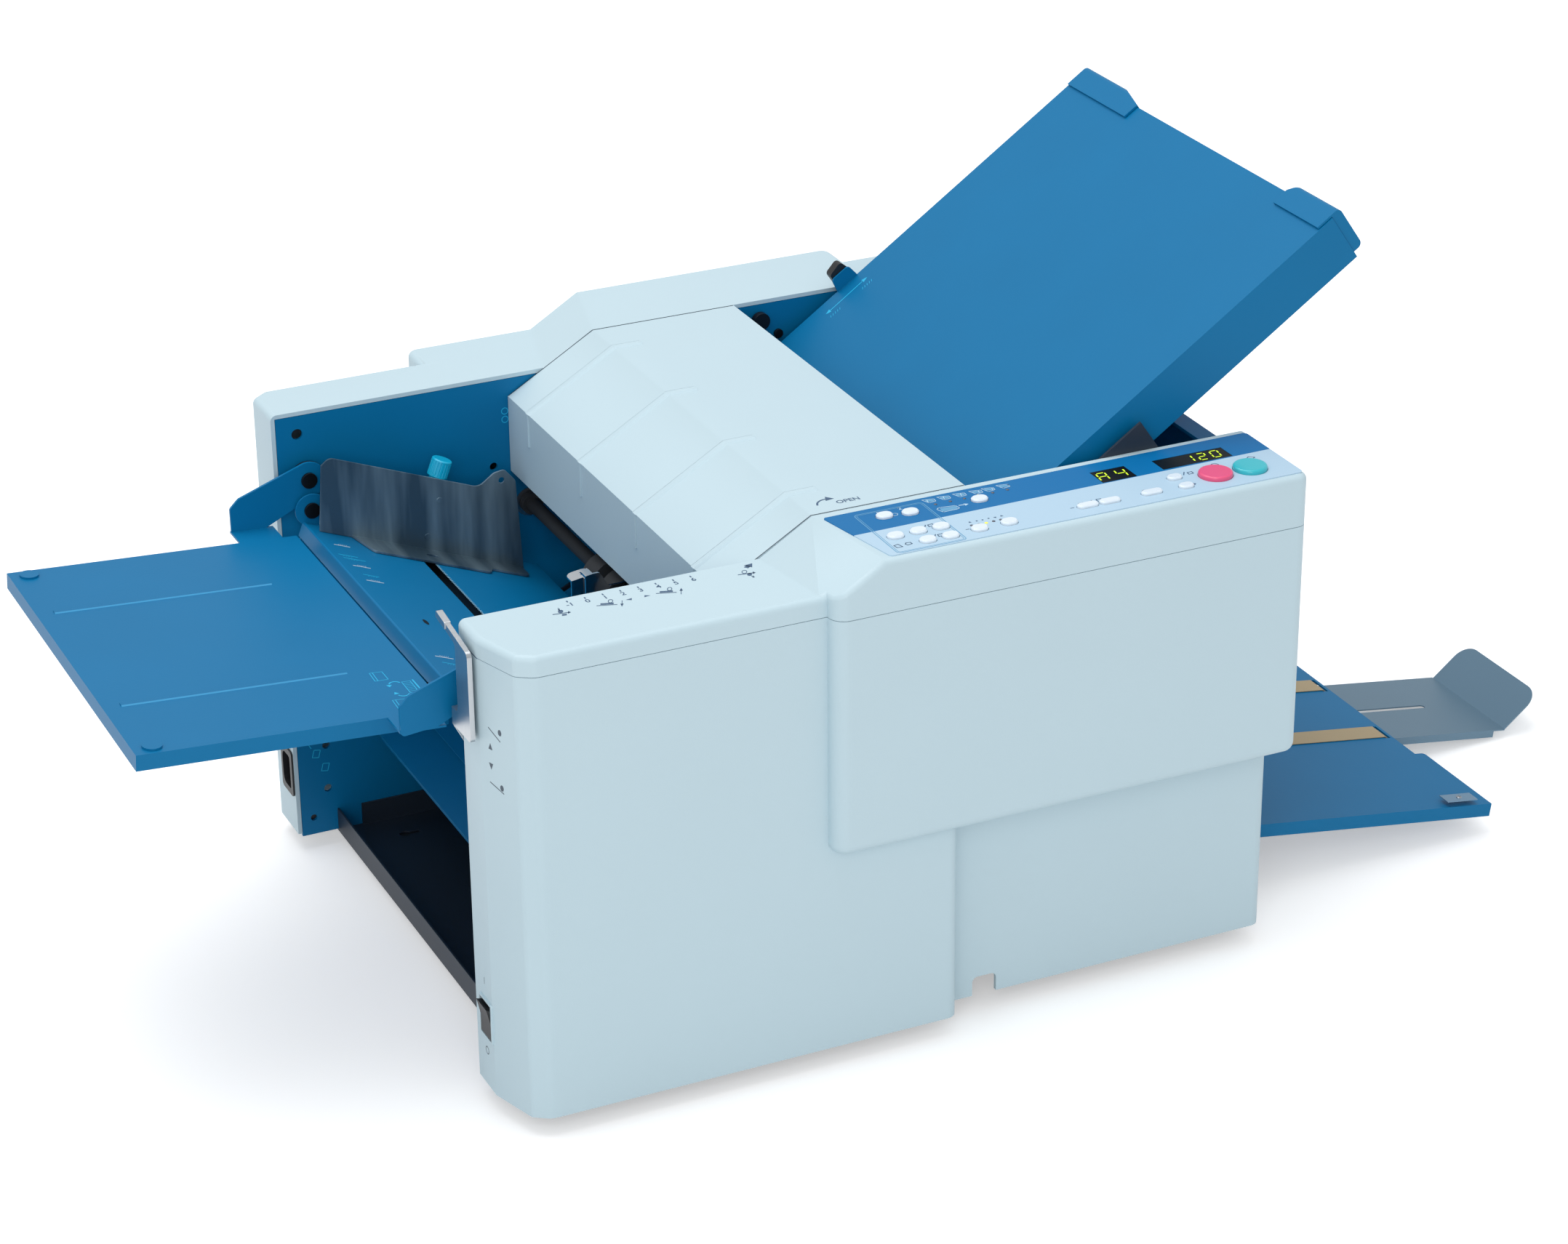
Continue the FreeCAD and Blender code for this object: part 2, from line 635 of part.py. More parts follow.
def front_housing():
    """Lower front cover: main shell, bulge that carries the panel, switch opening, hand notch."""
    top = SEAM - SEAM_GAP
    main = plan_prism(front_plan(0), 0, top)
    front = -HALF - BOX_DEPTH
    bulge = plan_prism([(BOX_LEFT, -HALF - CORNER_DEPTH + WALL), (BOX_LEFT, front, BOX_ROUND + 3),
                        (BOX_RIGHT, front, BOX_ROUND), (BOX_RIGHT, -HALF - CORNER_DEPTH + WALL)],
                       BOX_FOOT, top)
    bulge = round_edges(bulge, BOX_ROUND, lambda e: e.BoundBox.ZMax < BOX_FOOT + 0.01
                        and e.BoundBox.YMin < -HALF - CORNER_DEPTH - 1)
    shell = join(main, bulge)
    hollow = plan_prism(front_plan(WALL), -1, top + 1)
    box_hollow = plan_prism([(BOX_LEFT + WALL, -HALF - CORNER_DEPTH + WALL + 1),
                             (BOX_LEFT + WALL, front + WALL, BOX_ROUND),
                             (BOX_RIGHT - WALL, front + WALL, BOX_ROUND - WALL),
                             (BOX_RIGHT - WALL, -HALF - CORNER_DEPTH + WALL + 1)],
                            BOX_FOOT + WALL, top + 1)
    x0, x1, notch_top = HAND_NOTCH
    notch = side_prism([(x0, -1), (x0, notch_top, 4), (x1, notch_top, 4), (x1, -1)],
                       -HALF - FRONT_DEPTH, -HALF - CORNER_DEPTH + WALL + 1)
    w, h = ROCKER_W / 2 + FIT, ROCKER_H / 2 + FIT + 1
    opening = block(LEFT_END - 3, LEFT_END + 12, ROCKER_Y - w, ROCKER_Y + w, ROCKER_Z - h, ROCKER_Z + h)
    bezel = end_prism([(ROCKER_Y - w - 1.6, ROCKER_Z - h - 1.6, 2),
                       (ROCKER_Y + w + 1.6, ROCKER_Z - h - 1.6, 2),
                       (ROCKER_Y + w + 1.6, ROCKER_Z + h + 1.6, 2), (ROCKER_Y - w - 1.6, ROCKER_Z + h + 1.6,
                                                                     2)],
                      LEFT_END - 1.2, LEFT_END + 9)
    pivot = rod((LEFT_END + ROCKER_IN, ROCKER_Z), 1.5 + RUN, ROCKER_Y - w - 3, ROCKER_Y + w + 3)
    shell = shell.cut([hollow, box_hollow, notch, mirrored(ear(FIT))])
    return join(shell, bezel).cut([opening, pivot])


def on_panel(x, y):
    """A panel place in the machine: keys spread with the length of the control box."""
    return RAMP_HEAD + x * SPREAD, y - HALF


def window_on_panel(x0, x1, y0, y1):
    (left, front), (right, back) = on_panel(x0, y0), on_panel(x1, y1)
    return left, right, front, back


def key_hole(size, place, gap, z0, z1):
    x, y = on_panel(*place)
    return stadium(x, y, size[0] * SPREAD + 2 * gap, size[1] + 2 * gap, z0, z1)


def panel_cuts(gap, z0, z1):
    """Openings for every key and display, with a clearance."""
    cuts = [key_hole(size, place, gap, z0, z1) for size, places in KEYS.values() for place in places]
    cuts += [post(*on_panel(*place), ROUND_KEY_R * SPREAD + gap, z0, z1) for place in (STOP_KEY, START_KEY)]
    cuts += [block(*grown(window_on_panel(*window), gap), z0, z1) for window in DISPLAYS]
    return cuts


def front_cap():
    """Front cover cap: low top, ramp and panel top in one shell, open below and inwards."""
    outer_y = -HALF - BOX_DEPTH
    body = plan_prism(front_plan(0, True), SEAM, HIGH_TOP).cut(ramp_cutter(outer_y, FRONT_RAMP_DRIFT, 0))
    body = round_edges(body, TOP_ROUND, lambda e: on_outer_rim(e, -1))
    hollow = plan_prism(front_plan(WALL, True), SEAM - 1, HIGH_TOP - WALL)
    hollow = hollow.cut(ramp_cutter(outer_y, FRONT_RAMP_DRIFT, WALL))
    return body.cut([hollow] + panel_cuts(KEY_GAP, HIGH_TOP - WALL - 1, HIGH_TOP + 1))


def on_outer_rim(edge, side):
    """True for the upper edges of a cover away from the bay and from the ramp creases."""
    box = edge.BoundBox
    if box.ZMin < LOW_TOP - 0.01 or side * edge.CenterOfMass.y < HALF + 0.5:
        return False
    crosses = box.YLength > 0.9 * REAR_DEPTH and box.XLength < 30
    return not (crosses and LEFT_END + 5 < edge.CenterOfMass.x < RIGHT_END - 10)


def rear_plan(inset):
    inner = HALF if not inset else HALF - 1
    back = HALF + REAR_DEPTH - inset
    return [(LEFT_END + inset, inner), (RIGHT_END - inset, inner),
            (RIGHT_END - inset, back, BOX_ROUND - inset),
            (LEFT_END + CHAMFER_RUN + inset / 2, back, 6), (LEFT_END + inset, back - 9 + inset / 2, 4)]


def rear_housing():
    """Rear cover: one shell with the ramped top and the raised drive box, open below and inwards."""
    outer_y = HALF + REAR_BOX_DEPTH
    body = plan_prism(rear_plan(0), 0, HIGH_TOP)
    body = body.cut(ramp_cutter(outer_y, REAR_RAMP_DRIFT, 0))
    body = round_edges(body, TOP_ROUND, lambda e: on_outer_rim(e, 1))

    def raised(inset):
        inner = HALF + REAR_DEPTH - WALL - (1 if inset else TOP_ROUND)
        return plan_prism([(REAR_BOX_LEFT + inset, inner),
                           (REAR_BOX_LEFT + inset, outer_y - inset, BOX_ROUND - inset),
                           (REAR_BOX_RIGHT - inset, outer_y - inset, BOX_ROUND - inset),
                           (REAR_BOX_RIGHT - inset, inner)], REAR_BOX_FOOT + inset, HIGH_TOP - inset)
    bulge = raised(0).cut(ramp_cutter(outer_y, REAR_RAMP_DRIFT, 0))
    bulge = round_edges(bulge, TOP_ROUND, lambda e: e.BoundBox.YMin > outer_y - BOX_ROUND - 1
                        and (e.BoundBox.ZMin > LOW_TOP - 0.01 or e.BoundBox.ZMax < REAR_BOX_FOOT + 0.01))
    hollow = plan_prism(rear_plan(WALL), -1, HIGH_TOP - WALL).cut(ramp_cutter(outer_y, REAR_RAMP_DRIFT, WALL))
    box_hollow = raised(WALL).cut(ramp_cutter(outer_y, REAR_RAMP_DRIFT, WALL))
    vents = [side_prism([(x, 150, 2), (x + 5, 150, 2), (x + 5, 210, 2), (x, 210, 2)], outer_y - WALL - 1,
                        outer_y + 1)
             for x in range(300, 396, 12)]
    w, h = INLET_W / 2, INLET_H / 2
    inlet = block(LEFT_END - 1, LEFT_END + WALL + 1, INLET_Y - w, INLET_Y + w, INLET_Z - h, INLET_Z + h)
    return join(body, bulge).cut([hollow, box_hollow, inlet, ear(FIT)] + vents)


def mains_inlet():
    """Three-pin inlet: flanged body with a recess and flat pins."""
    w, h = INLET_W / 2, INLET_H / 2
    flange = end_prism([(INLET_Y - w - 2.5, INLET_Z - h - 3, 3), (INLET_Y + w + 1.5, INLET_Z - h - 3, 3),
                        (INLET_Y + w + 1.5, INLET_Z + h + 3, 3), (INLET_Y - w - 2.5, INLET_Z + h + 3, 3)],
                       LEFT_END - 1.5, LEFT_END)
    body = block(LEFT_END, LEFT_END + 16, INLET_Y - w, INLET_Y + w, INLET_Z - h, INLET_Z + h)
    recess = end_prism([(INLET_Y - w + 2, INLET_Z - h + 2, 2), (INLET_Y + w - 2, INLET_Z - h + 2, 6),
                        (INLET_Y + w - 2, INLET_Z + h - 2, 6), (INLET_Y - w + 2, INLET_Z + h - 2, 2)],
                       LEFT_END - 2, LEFT_END + 13)
    pins = [block(LEFT_END + 6, LEFT_END + 13.5, INLET_Y + dy - 0.8, INLET_Y + dy + 0.8,
                  INLET_Z + dz - 2, INLET_Z + dz + 2) for dy, dz in ((-2, -7), (3, 0), (-2, 7))]
    return join(join(flange, body).cut(recess), *pins)


def power_rocker():
    """Rocker seen from the side, at rest tipped to one end, on two small trunnions."""
    pivot = (LEFT_END + ROCKER_IN, ROCKER_Z)
    h = ROCKER_H / 2
    profile = [(-6.4, h), (-5.0, 0), (-6.4, -h), (4, -h + 4), (5, 0), (4, h - 4)]
    body = side_prism(profile, ROCKER_Y - ROCKER_W / 2, ROCKER_Y + ROCKER_W / 2)
    trunnion = rod((0, 0), 1.5, ROCKER_Y - ROCKER_W / 2 - 1.4, ROCKER_Y + ROCKER_W / 2 + 1.4)
    return lay(join(body, trunnion), pivot, ROCKER_TILT)


# ---------------------------------------------------------------- control panel
def panel_overlay():
    (front_x, front_y), (back_x, back_y) = (on_panel(*corner) for corner in PANEL_LEFT)
    right = BOX_RIGHT - PANEL_EDGE
    sheet = plan_prism([(back_x, back_y, 2), (right, PANEL_BACK - HALF, 3), (right, front_y, 3),
                        (front_x, front_y, 3)],
                       HIGH_TOP, HIGH_TOP + PANEL_T)
    return sheet.cut(panel_cuts(KEY_GAP, HIGH_TOP - 1, HIGH_TOP + PANEL_T + 1))


def display_modules():
    top = HIGH_TOP + PANEL_T - 0.1
    return group(block(*grown(window_on_panel(*window), -0.2 + KEY_GAP), top - DISPLAY_DEPTH, top)
                 for window in DISPLAYS)


def key_bar(x0, x1, y0, y1):
    top = HIGH_TOP - WALL - FIT
    return block(x0, x1, y0, y1, top - KEY_BAR_T, top)


def key_group(name):
    """One moulded strip of keys: domes above the panel on a bar that stops under the cap."""
    size, places = KEYS[name]
    top = HIGH_TOP + PANEL_T + KEY_RISE
    xs, ys = zip(*(on_panel(*place) for place in places))
    edge = 0.8
    half = size[0] * SPREAD / 2
    bar = key_bar(min(xs) - half - edge, max(xs) + half + edge,
                  min(ys) - size[1] / 2 - edge, max(ys) + size[1] / 2 + edge)
    domes = []
    for place in places:
        dome = key_hole(size, place, 0, HIGH_TOP - WALL - FIT - 1, top)
        domes.append(dome.makeChamfer(0.9, [e for e in dome.Edges if e.BoundBox.ZMin > top - 0.01]))
    return join(bar, *domes)


def round_key(place):
    x, y = on_panel(*place)
    radius = ROUND_KEY_R * SPREAD
    top = HIGH_TOP + PANEL_T + KEY_RISE + 1
    low = HIGH_TOP - WALL - FIT
    cap = post(x, y, radius, low - 1, top)
    cap = cap.makeFillet(1.6, [e for e in cap.Edges if e.BoundBox.ZMin > top - 0.01])
    return join(cap, post(x, y, radius + 1.0, low - KEY_BAR_T, low))


# ---------------------------------------------------------------- rollers and drive
def roller(index):
    centre = ROLLERS[index]
    end = PULLEY_OUT + 1 if index == 1 else GEAR_OUT + 2
    journal = -(HALF + BUSH_REACH + GEAR_GAP)
    return join(rod(centre, ROLLER_R, -ROLLER_HALF, ROLLER_HALF), rod(centre, SHAFT_R, journal, end))


def feed_roller():
    """Feed shaft with three rubber-faced rings."""
    end = HALF + BUSH_REACH + GEAR_GAP
    rings = [rod(FEED, FEED_R, n * FEED_RING_STEP - FEED_RING_W / 2, n * FEED_RING_STEP + FEED_RING_W / 2)
             for n in (-1, 0, 1)]
    collars = both(rod(FEED, SHAFT_R + 3, HALF - 6, HALF - 0.5))
    return join(rod(FEED, SHAFT_R, -end, end), *rings, *collars)


def roller_bearings():
    """Flanged bushes pressed into both side frames, one pair to a shaft."""
    bushes = []
    for centre in ROLLERS + (FEED,):
        bush = join(rod(centre, BUSH_R, HALF, HALF + BUSH_REACH),
                    rod(centre, BUSH_FLANGE_R, FRAME_OUT, FRAME_OUT + BUSH_FLANGE_T))
        bushes += both(bush.cut(rod(centre, SHAFT_R + RUN, HALF - 1, HALF + BUSH_REACH + 1)))
    return group(bushes)


def involute(base_r, radius):
    """Polar angle of an involute at a radius."""
    turn = math.sqrt(max((radius / base_r) ** 2 - 1, 0.0))
    return turn - math.atan(turn)


def tooth_phase(first, second, first_phase):
    """Angle of a tooth centre on the second gear so that it meshes with the first."""
    heading = math.atan2(second[1] - first[1], second[0] - first[0])
    pitch = 2 * math.pi / TEETH
    past = (heading - first_phase) % pitch
    return heading + math.pi + past + pitch / 2


def gear_phases():
    phases = [0.0]
    for first, second in zip(ROLLERS, ROLLERS[1:]):
        phases.append(tooth_phase(first, second, phases[-1]))
    return phases


def gear(centre, phase):
    """Involute spur gear about an (x, z) centre, drawn tooth by tooth."""
    backlash = 0.12
    pitch_r = ROLLER_PITCH / 2
    base_r = pitch_r * math.cos(math.radians(20))
    root_r, tip_r = pitch_r - 1.25 * MODULE, pitch_r + 0.95 * MODULE
    half_pitch = (math.pi * MODULE / 2 - backlash) / 2 / pitch_r
    radii = (root_r, base_r + 0.05, pitch_r, tip_r)
    points = []
    for tooth in range(TEETH):
        middle = phase + tooth * 2 * math.pi / TEETH
        flank = [(r, half_pitch + involute(base_r, pitch_r) - involute(base_r,
                                                                       max(r, base_r))) for r in radii]
        for r, half in flank:
            points.append((middle - half, r))
        for r, half in reversed(flank):
            points.append((middle + half, r))
    ring_points = [(centre[0] + r * math.cos(a), centre[1] + r * math.sin(a)) for a, r in points]
    return side_prism(ring_points, GEAR_IN, GEAR_OUT).cut(rod(centre, SHAFT_R + 0.02, GEAR_IN - 1,
                                                              GEAR_OUT + 1))


def roller_gear(index):
    """Gear of one fold roller; the second also carries the belt pulley on a long hub."""
    centre = ROLLERS[index]
    body = gear(centre, gear_phases()[index])
    if index == 1:
        hub = rod(centre, SHAFT_R + 5, GEAR_OUT, PULLEY_IN)
        wheel = join(rod(centre, PULLEY_R, PULLEY_IN, PULLEY_OUT),
                     rod(centre, PULLEY_R + 2, PULLEY_OUT - 1, PULLEY_OUT))
        body = join(body, hub, wheel).cut(rod(centre, SHAFT_R + 0.02, GEAR_IN - 1, PULLEY_OUT + 1))
    return body


def motor_pulley():
    centre = (MOTOR_X, MOTOR_Z)
    return join(rod(centre, MOTOR_PULLEY_R, PULLEY_IN, PULLEY_OUT),
                rod(centre, MOTOR_PULLEY_R + 2, PULLEY_IN, PULLEY_IN + 1),
                rod(centre, MOTOR_SHAFT_R, PULLEY_OUT, PULLEY_OUT + 9))


def drive_motor():
    """Motor can on its mounting plate, stood off the rear frame by four posts."""
    centre = (MOTOR_X, MOTOR_Z)
    y0 = PULLEY_OUT + 2
    y1 = y0 + MOTOR_PLATE_T
    reach = MOTOR_PLATE / 2
    plate = side_prism([(MOTOR_X + sx * reach, MOTOR_Z + sz * reach, 6)
                        for sx, sz in ((-1, -1), (1, -1), (1, 1), (-1, 1))], y0, y1)
    posts = [rod((MOTOR_X + sx * (reach - 7), MOTOR_Z + sz * (reach - 7)), POST_R, FRAME_OUT, y0)
             for sx in (-1, 1) for sz in (-1, 1)]
    can = rod(centre, MOTOR_R, y1, y1 + MOTOR_L)
    can = can.makeFillet(3, [e for e in can.Edges if e.BoundBox.YMin > y1 + MOTOR_L - 0.01])
    return join(plate, can, *posts).cut(rod(centre, MOTOR_SHAFT_R + RUN, y0 - 1, y0 + 10))


def drive_belt():
    first, second = ROLLER_2, (MOTOR_X, MOTOR_Z)
    y0, y1 = PULLEY_IN + 1 + FIT, PULLEY_OUT - 1 - FIT
    outer = belt_loop(first, PULLEY_R + FIT + BELT_T, second, MOTOR_PULLEY_R + FIT + BELT_T, y0, y1)
    return outer.cut(belt_loop(first, PULLEY_R + FIT, second, MOTOR_PULLEY_R + FIT, y0, y1))


# ---------------------------------------------------------------- feed side
def feed_deck():
    """Sloping paper deck: sheet with lips, cross slot with its channel, pivot lugs."""
    sheet = block(0, DECK_L, -DECK_HALF, DECK_HALF, -SHEET, 0)
    lip = block(-SHEET, 0, -DECK_HALF, DECK_HALF, -DECK_LIP, 0)
    far_lip = block(DECK_L - SHEET, DECK_L, -DECK_HALF, DECK_HALF, -DECK_LIP, 0)
    sides = both(block(0, DECK_L, DECK_HALF - SHEET, DECK_HALF, -DECK_FLANGE, 0))
    half = CHANNEL_W / 2
    channel = side_prism([(SLOT_X - half, -SHEET), (SLOT_X - half, -DECK_FLANGE),
                          (SLOT_X + half, -DECK_FLANGE),
                          (SLOT_X + half, -SHEET), (SLOT_X + half - SHEET, -SHEET),
                          (SLOT_X + half - SHEET, SHEET - DECK_FLANGE), (SLOT_X - half + SHEET,
                                                                         SHEET - DECK_FLANGE),
                          (SLOT_X - half + SHEET, -SHEET)], -DECK_HALF + SHEET, DECK_HALF - SHEET)
    slot = block(SLOT_X - SLOT_W / 2, SLOT_X + SLOT_W / 2, -SLOT_HALF, SLOT_HALF, -SHEET - 1, 1)
    px, pz = local(DECK_PIVOT, DECK, DECK_SLOPE)
    lug = join(rod((px, pz), LUG_R, DECK_HALF - SHEET, DECK_HALF),
               side_prism([(0.5, -DECK_FLANGE / 2), (px + 2.5 * LUG_R, -DECK_FLANGE / 2),
                           (px + 2.5 * LUG_R, 0),
                           (px + LUG_R * 0.7, pz + LUG_R * 0.7), (px, pz + LUG_R / 2), (0.5, 0)],
                          DECK_HALF - SHEET, DECK_HALF))
    body = join(sheet, lip, far_lip, channel, *sides, *both(lug))
    holes = rod((px, pz), PIVOT_R + RUN, -DECK_HALF - 1, DECK_HALF + 1)
    round_lip = [e for e in body.Edges if abs(e.BoundBox.XMax + SHEET) < 0.01 and abs(e.BoundBox.ZMin) < 0.01
                 and e.BoundBox.ZLength < 0.01 and e.BoundBox.YLength > DECK_HALF]
    body = body.makeFillet(SHEET - 0.1, round_lip)
    return lay(body.cut([slot, holes]), DECK, DECK_SLOPE)


def side_guide():
    """Rear side guide, drawn on the flat deck: profiled plate, foot flange, rivets and screw tab."""
    inner = GUIDE_HALF - SHEET
    start, step, end = GUIDE_FOOT
    edge = GUIDE_HALF - GUIDE_FLANGE
    plate = side_prism(GUIDE_PROFILE, inner, GUIDE_HALF)
    flange = plan_prism([(start, inner), (start + GUIDE_STEP, edge, 4), (step, edge, 4),
                         (step + GUIDE_STEP / 2, edge + GUIDE_STEP, 2), (end, edge + GUIDE_STEP, 4), (end,
                                                                                                      inner)],
                        FIT, FIT + SHEET)
    tab = plan_prism([(SLOT_X - TAB_HALF, inner), (SLOT_X - TAB_HALF, KNOB_Y + KNOB_R, 4),
                      (SLOT_X + TAB_HALF, KNOB_Y + KNOB_R, 4), (SLOT_X + TAB_HALF, inner)],
                     KNOB_BASE - SHEET, KNOB_BASE)
    rivets = [rod(spot, RIVET_R, inner - RIVET_RISE, inner + SHEET / 2) for spot in GUIDE_RIVETS]
    ear_hole = rod(GUIDE_EAR_HOLE, RIVET_R, inner - 1, GUIDE_HALF + 1)
    slot_x, slot_l, slot_w = GUIDE_SLOT
    slot = stadium(slot_x, (edge + inner) / 2, slot_l, slot_w, FIT - 1, FIT + SHEET + 1)
    bore = post(SLOT_X, KNOB_Y, STEM_R + RUN, KNOB_BASE - SHEET - 1, KNOB_BASE + 1)
    return join(plate, flange, tab, *rivets).cut([ear_hole, slot, bore])


def guide_knob():
    """Rear clamping knob: knurled grip, long stem through the tab and slot, washer disc under the deck."""
    base = KNOB_BASE + FIT
    grip = post(SLOT_X, KNOB_Y, KNOB_R, base + 4, KNOB_TOP)
    grip = grip.makeFillet(1.2, [e for e in grip.Edges if e.BoundBox.ZMin > KNOB_TOP - 0.01])
    reach = KNOB_R + 0.3
    grooves = [post(SLOT_X + reach * math.cos(a), KNOB_Y + reach * math.sin(a), 0.6, base + 5, KNOB_TOP - 1.5)
               for a in (2 * math.pi * n / KNURLS for n in range(KNURLS))]
    neck = post(SLOT_X, KNOB_Y, KNOB_R - 2, base, base + 5)
    stem = post(SLOT_X, KNOB_Y, STEM_R, -SHEET - FIT - 3, base + 1)
    disc_r = min(CHANNEL_W / 2 - SHEET - 1.5, DECK_HALF - SHEET - KNOB_Y - FIT)
    disc = post(SLOT_X, KNOB_Y, disc_r, -SHEET - FIT - 3, -SHEET - FIT)
    return join(grip.cut(grooves), neck, stem, disc)


def arm_profile():
    """Side outline of a tray arm, from its pivot down to the tray."""
    px, pz = TRAY_PIVOT
    return [(px + point[0], pz + point[1]) + tuple(point[2:]) for point in ARM_LINE]


def feed_tray():
    """Feed tray with its two carrying arms; the arms turn on the upper pivot screws."""
    sheet = block(-TRAY_L, 0, -TRAY_HALF, TRAY_HALF, -SHEET, 0)
    left = block(-TRAY_L, SHEET - TRAY_L, -TRAY_HALF, TRAY_HALF, -TRAY_FLANGE, 0)
    right = block(-SHEET, 0, -TRAY_HALF, TRAY_HALF, -8, 0)
    sides = both(block(-TRAY_L, 0, TRAY_HALF - SHEET, TRAY_HALF, -TRAY_FLANGE, 0))
    tabs = both(block(-TRAY_TAB[0], -TRAY_TAB[1], TRAY_HALF - 1, ARM_IN + ARM_T, -SHEET, 0))
    from_left, from_side, bump_r = TRAY_BUMP
    bumps = both(post(from_left - TRAY_L, TRAY_HALF - from_side, bump_r, -0.5, 1.5))
    ridge_in, ridge_out, ridge_y, ridge_w = TRAY_RIDGE
    ridges = both(block(ridge_in - TRAY_L, -ridge_out, ridge_y - ridge_w / 2, ridge_y + ridge_w / 2, -0.5,
                        0.6))
    body = join(sheet, left, right, *sides, *tabs, *bumps, *ridges)
    body = lay(body, TRAY, TRAY_SLOPE)
    arm = join(side_prism(arm_profile(), ARM_IN, ARM_IN + ARM_T),
               rod(TRAY_PIVOT, ARM_R, ARM_IN, ARM_IN + ARM_T))
    bore = rod(TRAY_PIVOT, PIVOT_R + RUN, -ARM_IN - ARM_T - 1, ARM_IN + ARM_T + 1)
    return join(body, *both(arm)).cut(bore)


def pivot_screws():
    """Fixed pivots on the frames: tray and deck pins with heads and washers, lever pin, tray knob."""
    inner = ARM_IN - FIT
    upper = join(rod(TRAY_PIVOT, PIVOT_R, inner - 1, HALF), rod(TRAY_PIVOT, PIVOT_HEAD_R, inner - 2.2, inner),
                 rod(TRAY_PIVOT, ARM_R, ARM_IN + ARM_T + FIT, ARM_IN + ARM_T + 2),
                 rod(TRAY_PIVOT, PIVOT_R + 2, ARM_IN + ARM_T + 1, HALF))
    lug_in = DECK_HALF - SHEET - FIT
    lower = join(rod(DECK_PIVOT, PIVOT_R, lug_in - 1, HALF),
                 rod(DECK_PIVOT, PIVOT_HEAD_R, lug_in - 2, lug_in),
                 rod(DECK_PIVOT, PIVOT_R + 2, ARM_IN + ARM_T + 3, HALF))
    lever = join(rod(LEVER_PIN, 2, -HALF, -HALF + 4), rod(LEVER_PIN, 3.6, -HALF + 4 - FIT, -HALF + 5.5))
    knob = join(rod(TRAY_KNOB, 3, HALF - 3, HALF), rod(TRAY_KNOB, 6.5, HALF - 8, HALF - 3))
    screw = rod(TRAY_SCREW, 3.5, HALF - 2, HALF)
    return group(both(upper) + both(lower) + [lever, knob, screw])


def separator_bracket():
    """Folded steel nose with a slit front and a friction pad, hung from a tie rod by its side plate."""
    hub = TIE_RODS[4]
    (x0, z0), (x1, z1) = NOSE_LEFT, NOSE_RIGHT
    side = side_prism([(x0, NOSE_FOOT), NOSE_LEFT, NOSE_RIGHT, (x1 + 5, z1, 3), (x1 + 11, ARM_DIP, 2),
                       (x1 + 24, ARM_DIP, 4), (hub[0] - 4, hub[1] + 4), (hub[0] + 2, hub[1] - 7),
                       ARM_BELLY + (6,), (x1, NOSE_FOOT, 2)], -NOSE_HALF, NOSE_T - NOSE_HALF)
    flap = side_prism(strip([NOSE_LEFT, NOSE_RIGHT], NOSE_T), -NOSE_HALF, NOSE_BACK)
    flap = flap.common(plan_prism([(x0, -NOSE_HALF), (x1, -NOSE_HALF), (x1, NOSE_BACK, 5),
                                   (x0, NOSE_BACK, 5)],
                                  z0 - 5, z1 + 5))
    pad = side_prism(PAD, NOSE_T - NOSE_HALF - 0.5, NOSE_BACK - PAD_BACK)
    slit = block(*NOSE_SLIT, -NOSE_HALF - 1, NOSE_BACK - 4, NOSE_SLIT_FOOT, z1 + 3)
    eye = rod(hub, TIE_R + 3, -NOSE_HALF, NOSE_HALF)
    return join(join(side, flap).cut(slit), pad, eye).cut(rod(hub, TIE_R + RUN, -NOSE_HALF - 1,
                                                              NOSE_HALF + 1))


def skew_lever():
    """Lever at the left end: upright plate, slim top leg across the bay edge, foot tab with its slot leg."""
    x0, x1 = LEVER_X, LEVER_X + LEVER_T
    front, back = LEVER_FACE
    tip_y, tip_z = LEVER_TIP
    inside = 1 - HALF
    face = end_prism([(front, LEVER_FOOT, 3), (front, LEVER_ELBOW, 4), (tip_y, tip_z, 1.9),
                      (tip_y, tip_z - LEVER_LEG_W, 1.9), (back, LEVER_ELBOW - LEVER_LEG_W + 2, 3),
                      (back, LEVER_FOOT + LEVER_TAB, 4), (inside, LEVER_FOOT + LEVER_TAB), (inside,
                                                                                            LEVER_FOOT)],
                     x0, x1)
    sleeve = end_prism([(tip_y - 15, tip_z - LEVER_LEG_W - 2.7, 1), (tip_y - 15, tip_z - 1.9, 1),
                        (tip_y + 0.8, tip_z + 0.6, 1.5), (tip_y + 0.8, tip_z - LEVER_LEG_W - 0.4, 1.5)],
                       x0 - 0.5, x1 + 0.5)
    pin_x, pin_z = LEVER_PIN
    outer, inner = FIT - HALF, 3.2 - HALF
    tab_top = LEVER_FOOT + LEVER_TAB
    leg_left, leg_right, leg_foot = pin_x - LEVER_LEG[0], pin_x + LEVER_LEG[1], pin_z - LEVER_DROP
    leg = side_prism([(x0, LEVER_FOOT), (x0, tab_top), (leg_right, tab_top, 3), (leg_right, leg_foot, 3),
                      (leg_left, leg_foot, 3)], outer, inner)
    reach = LEVER_TRAVEL + LEVER_SLOT_HALF
    slot = block(pin_x - LEVER_SLOT_HALF, pin_x + LEVER_SLOT_HALF, outer - 1, inner + 1, pin_z - reach,
                 pin_z + reach)
    return join(face, sleeve, leg).cut(slot)


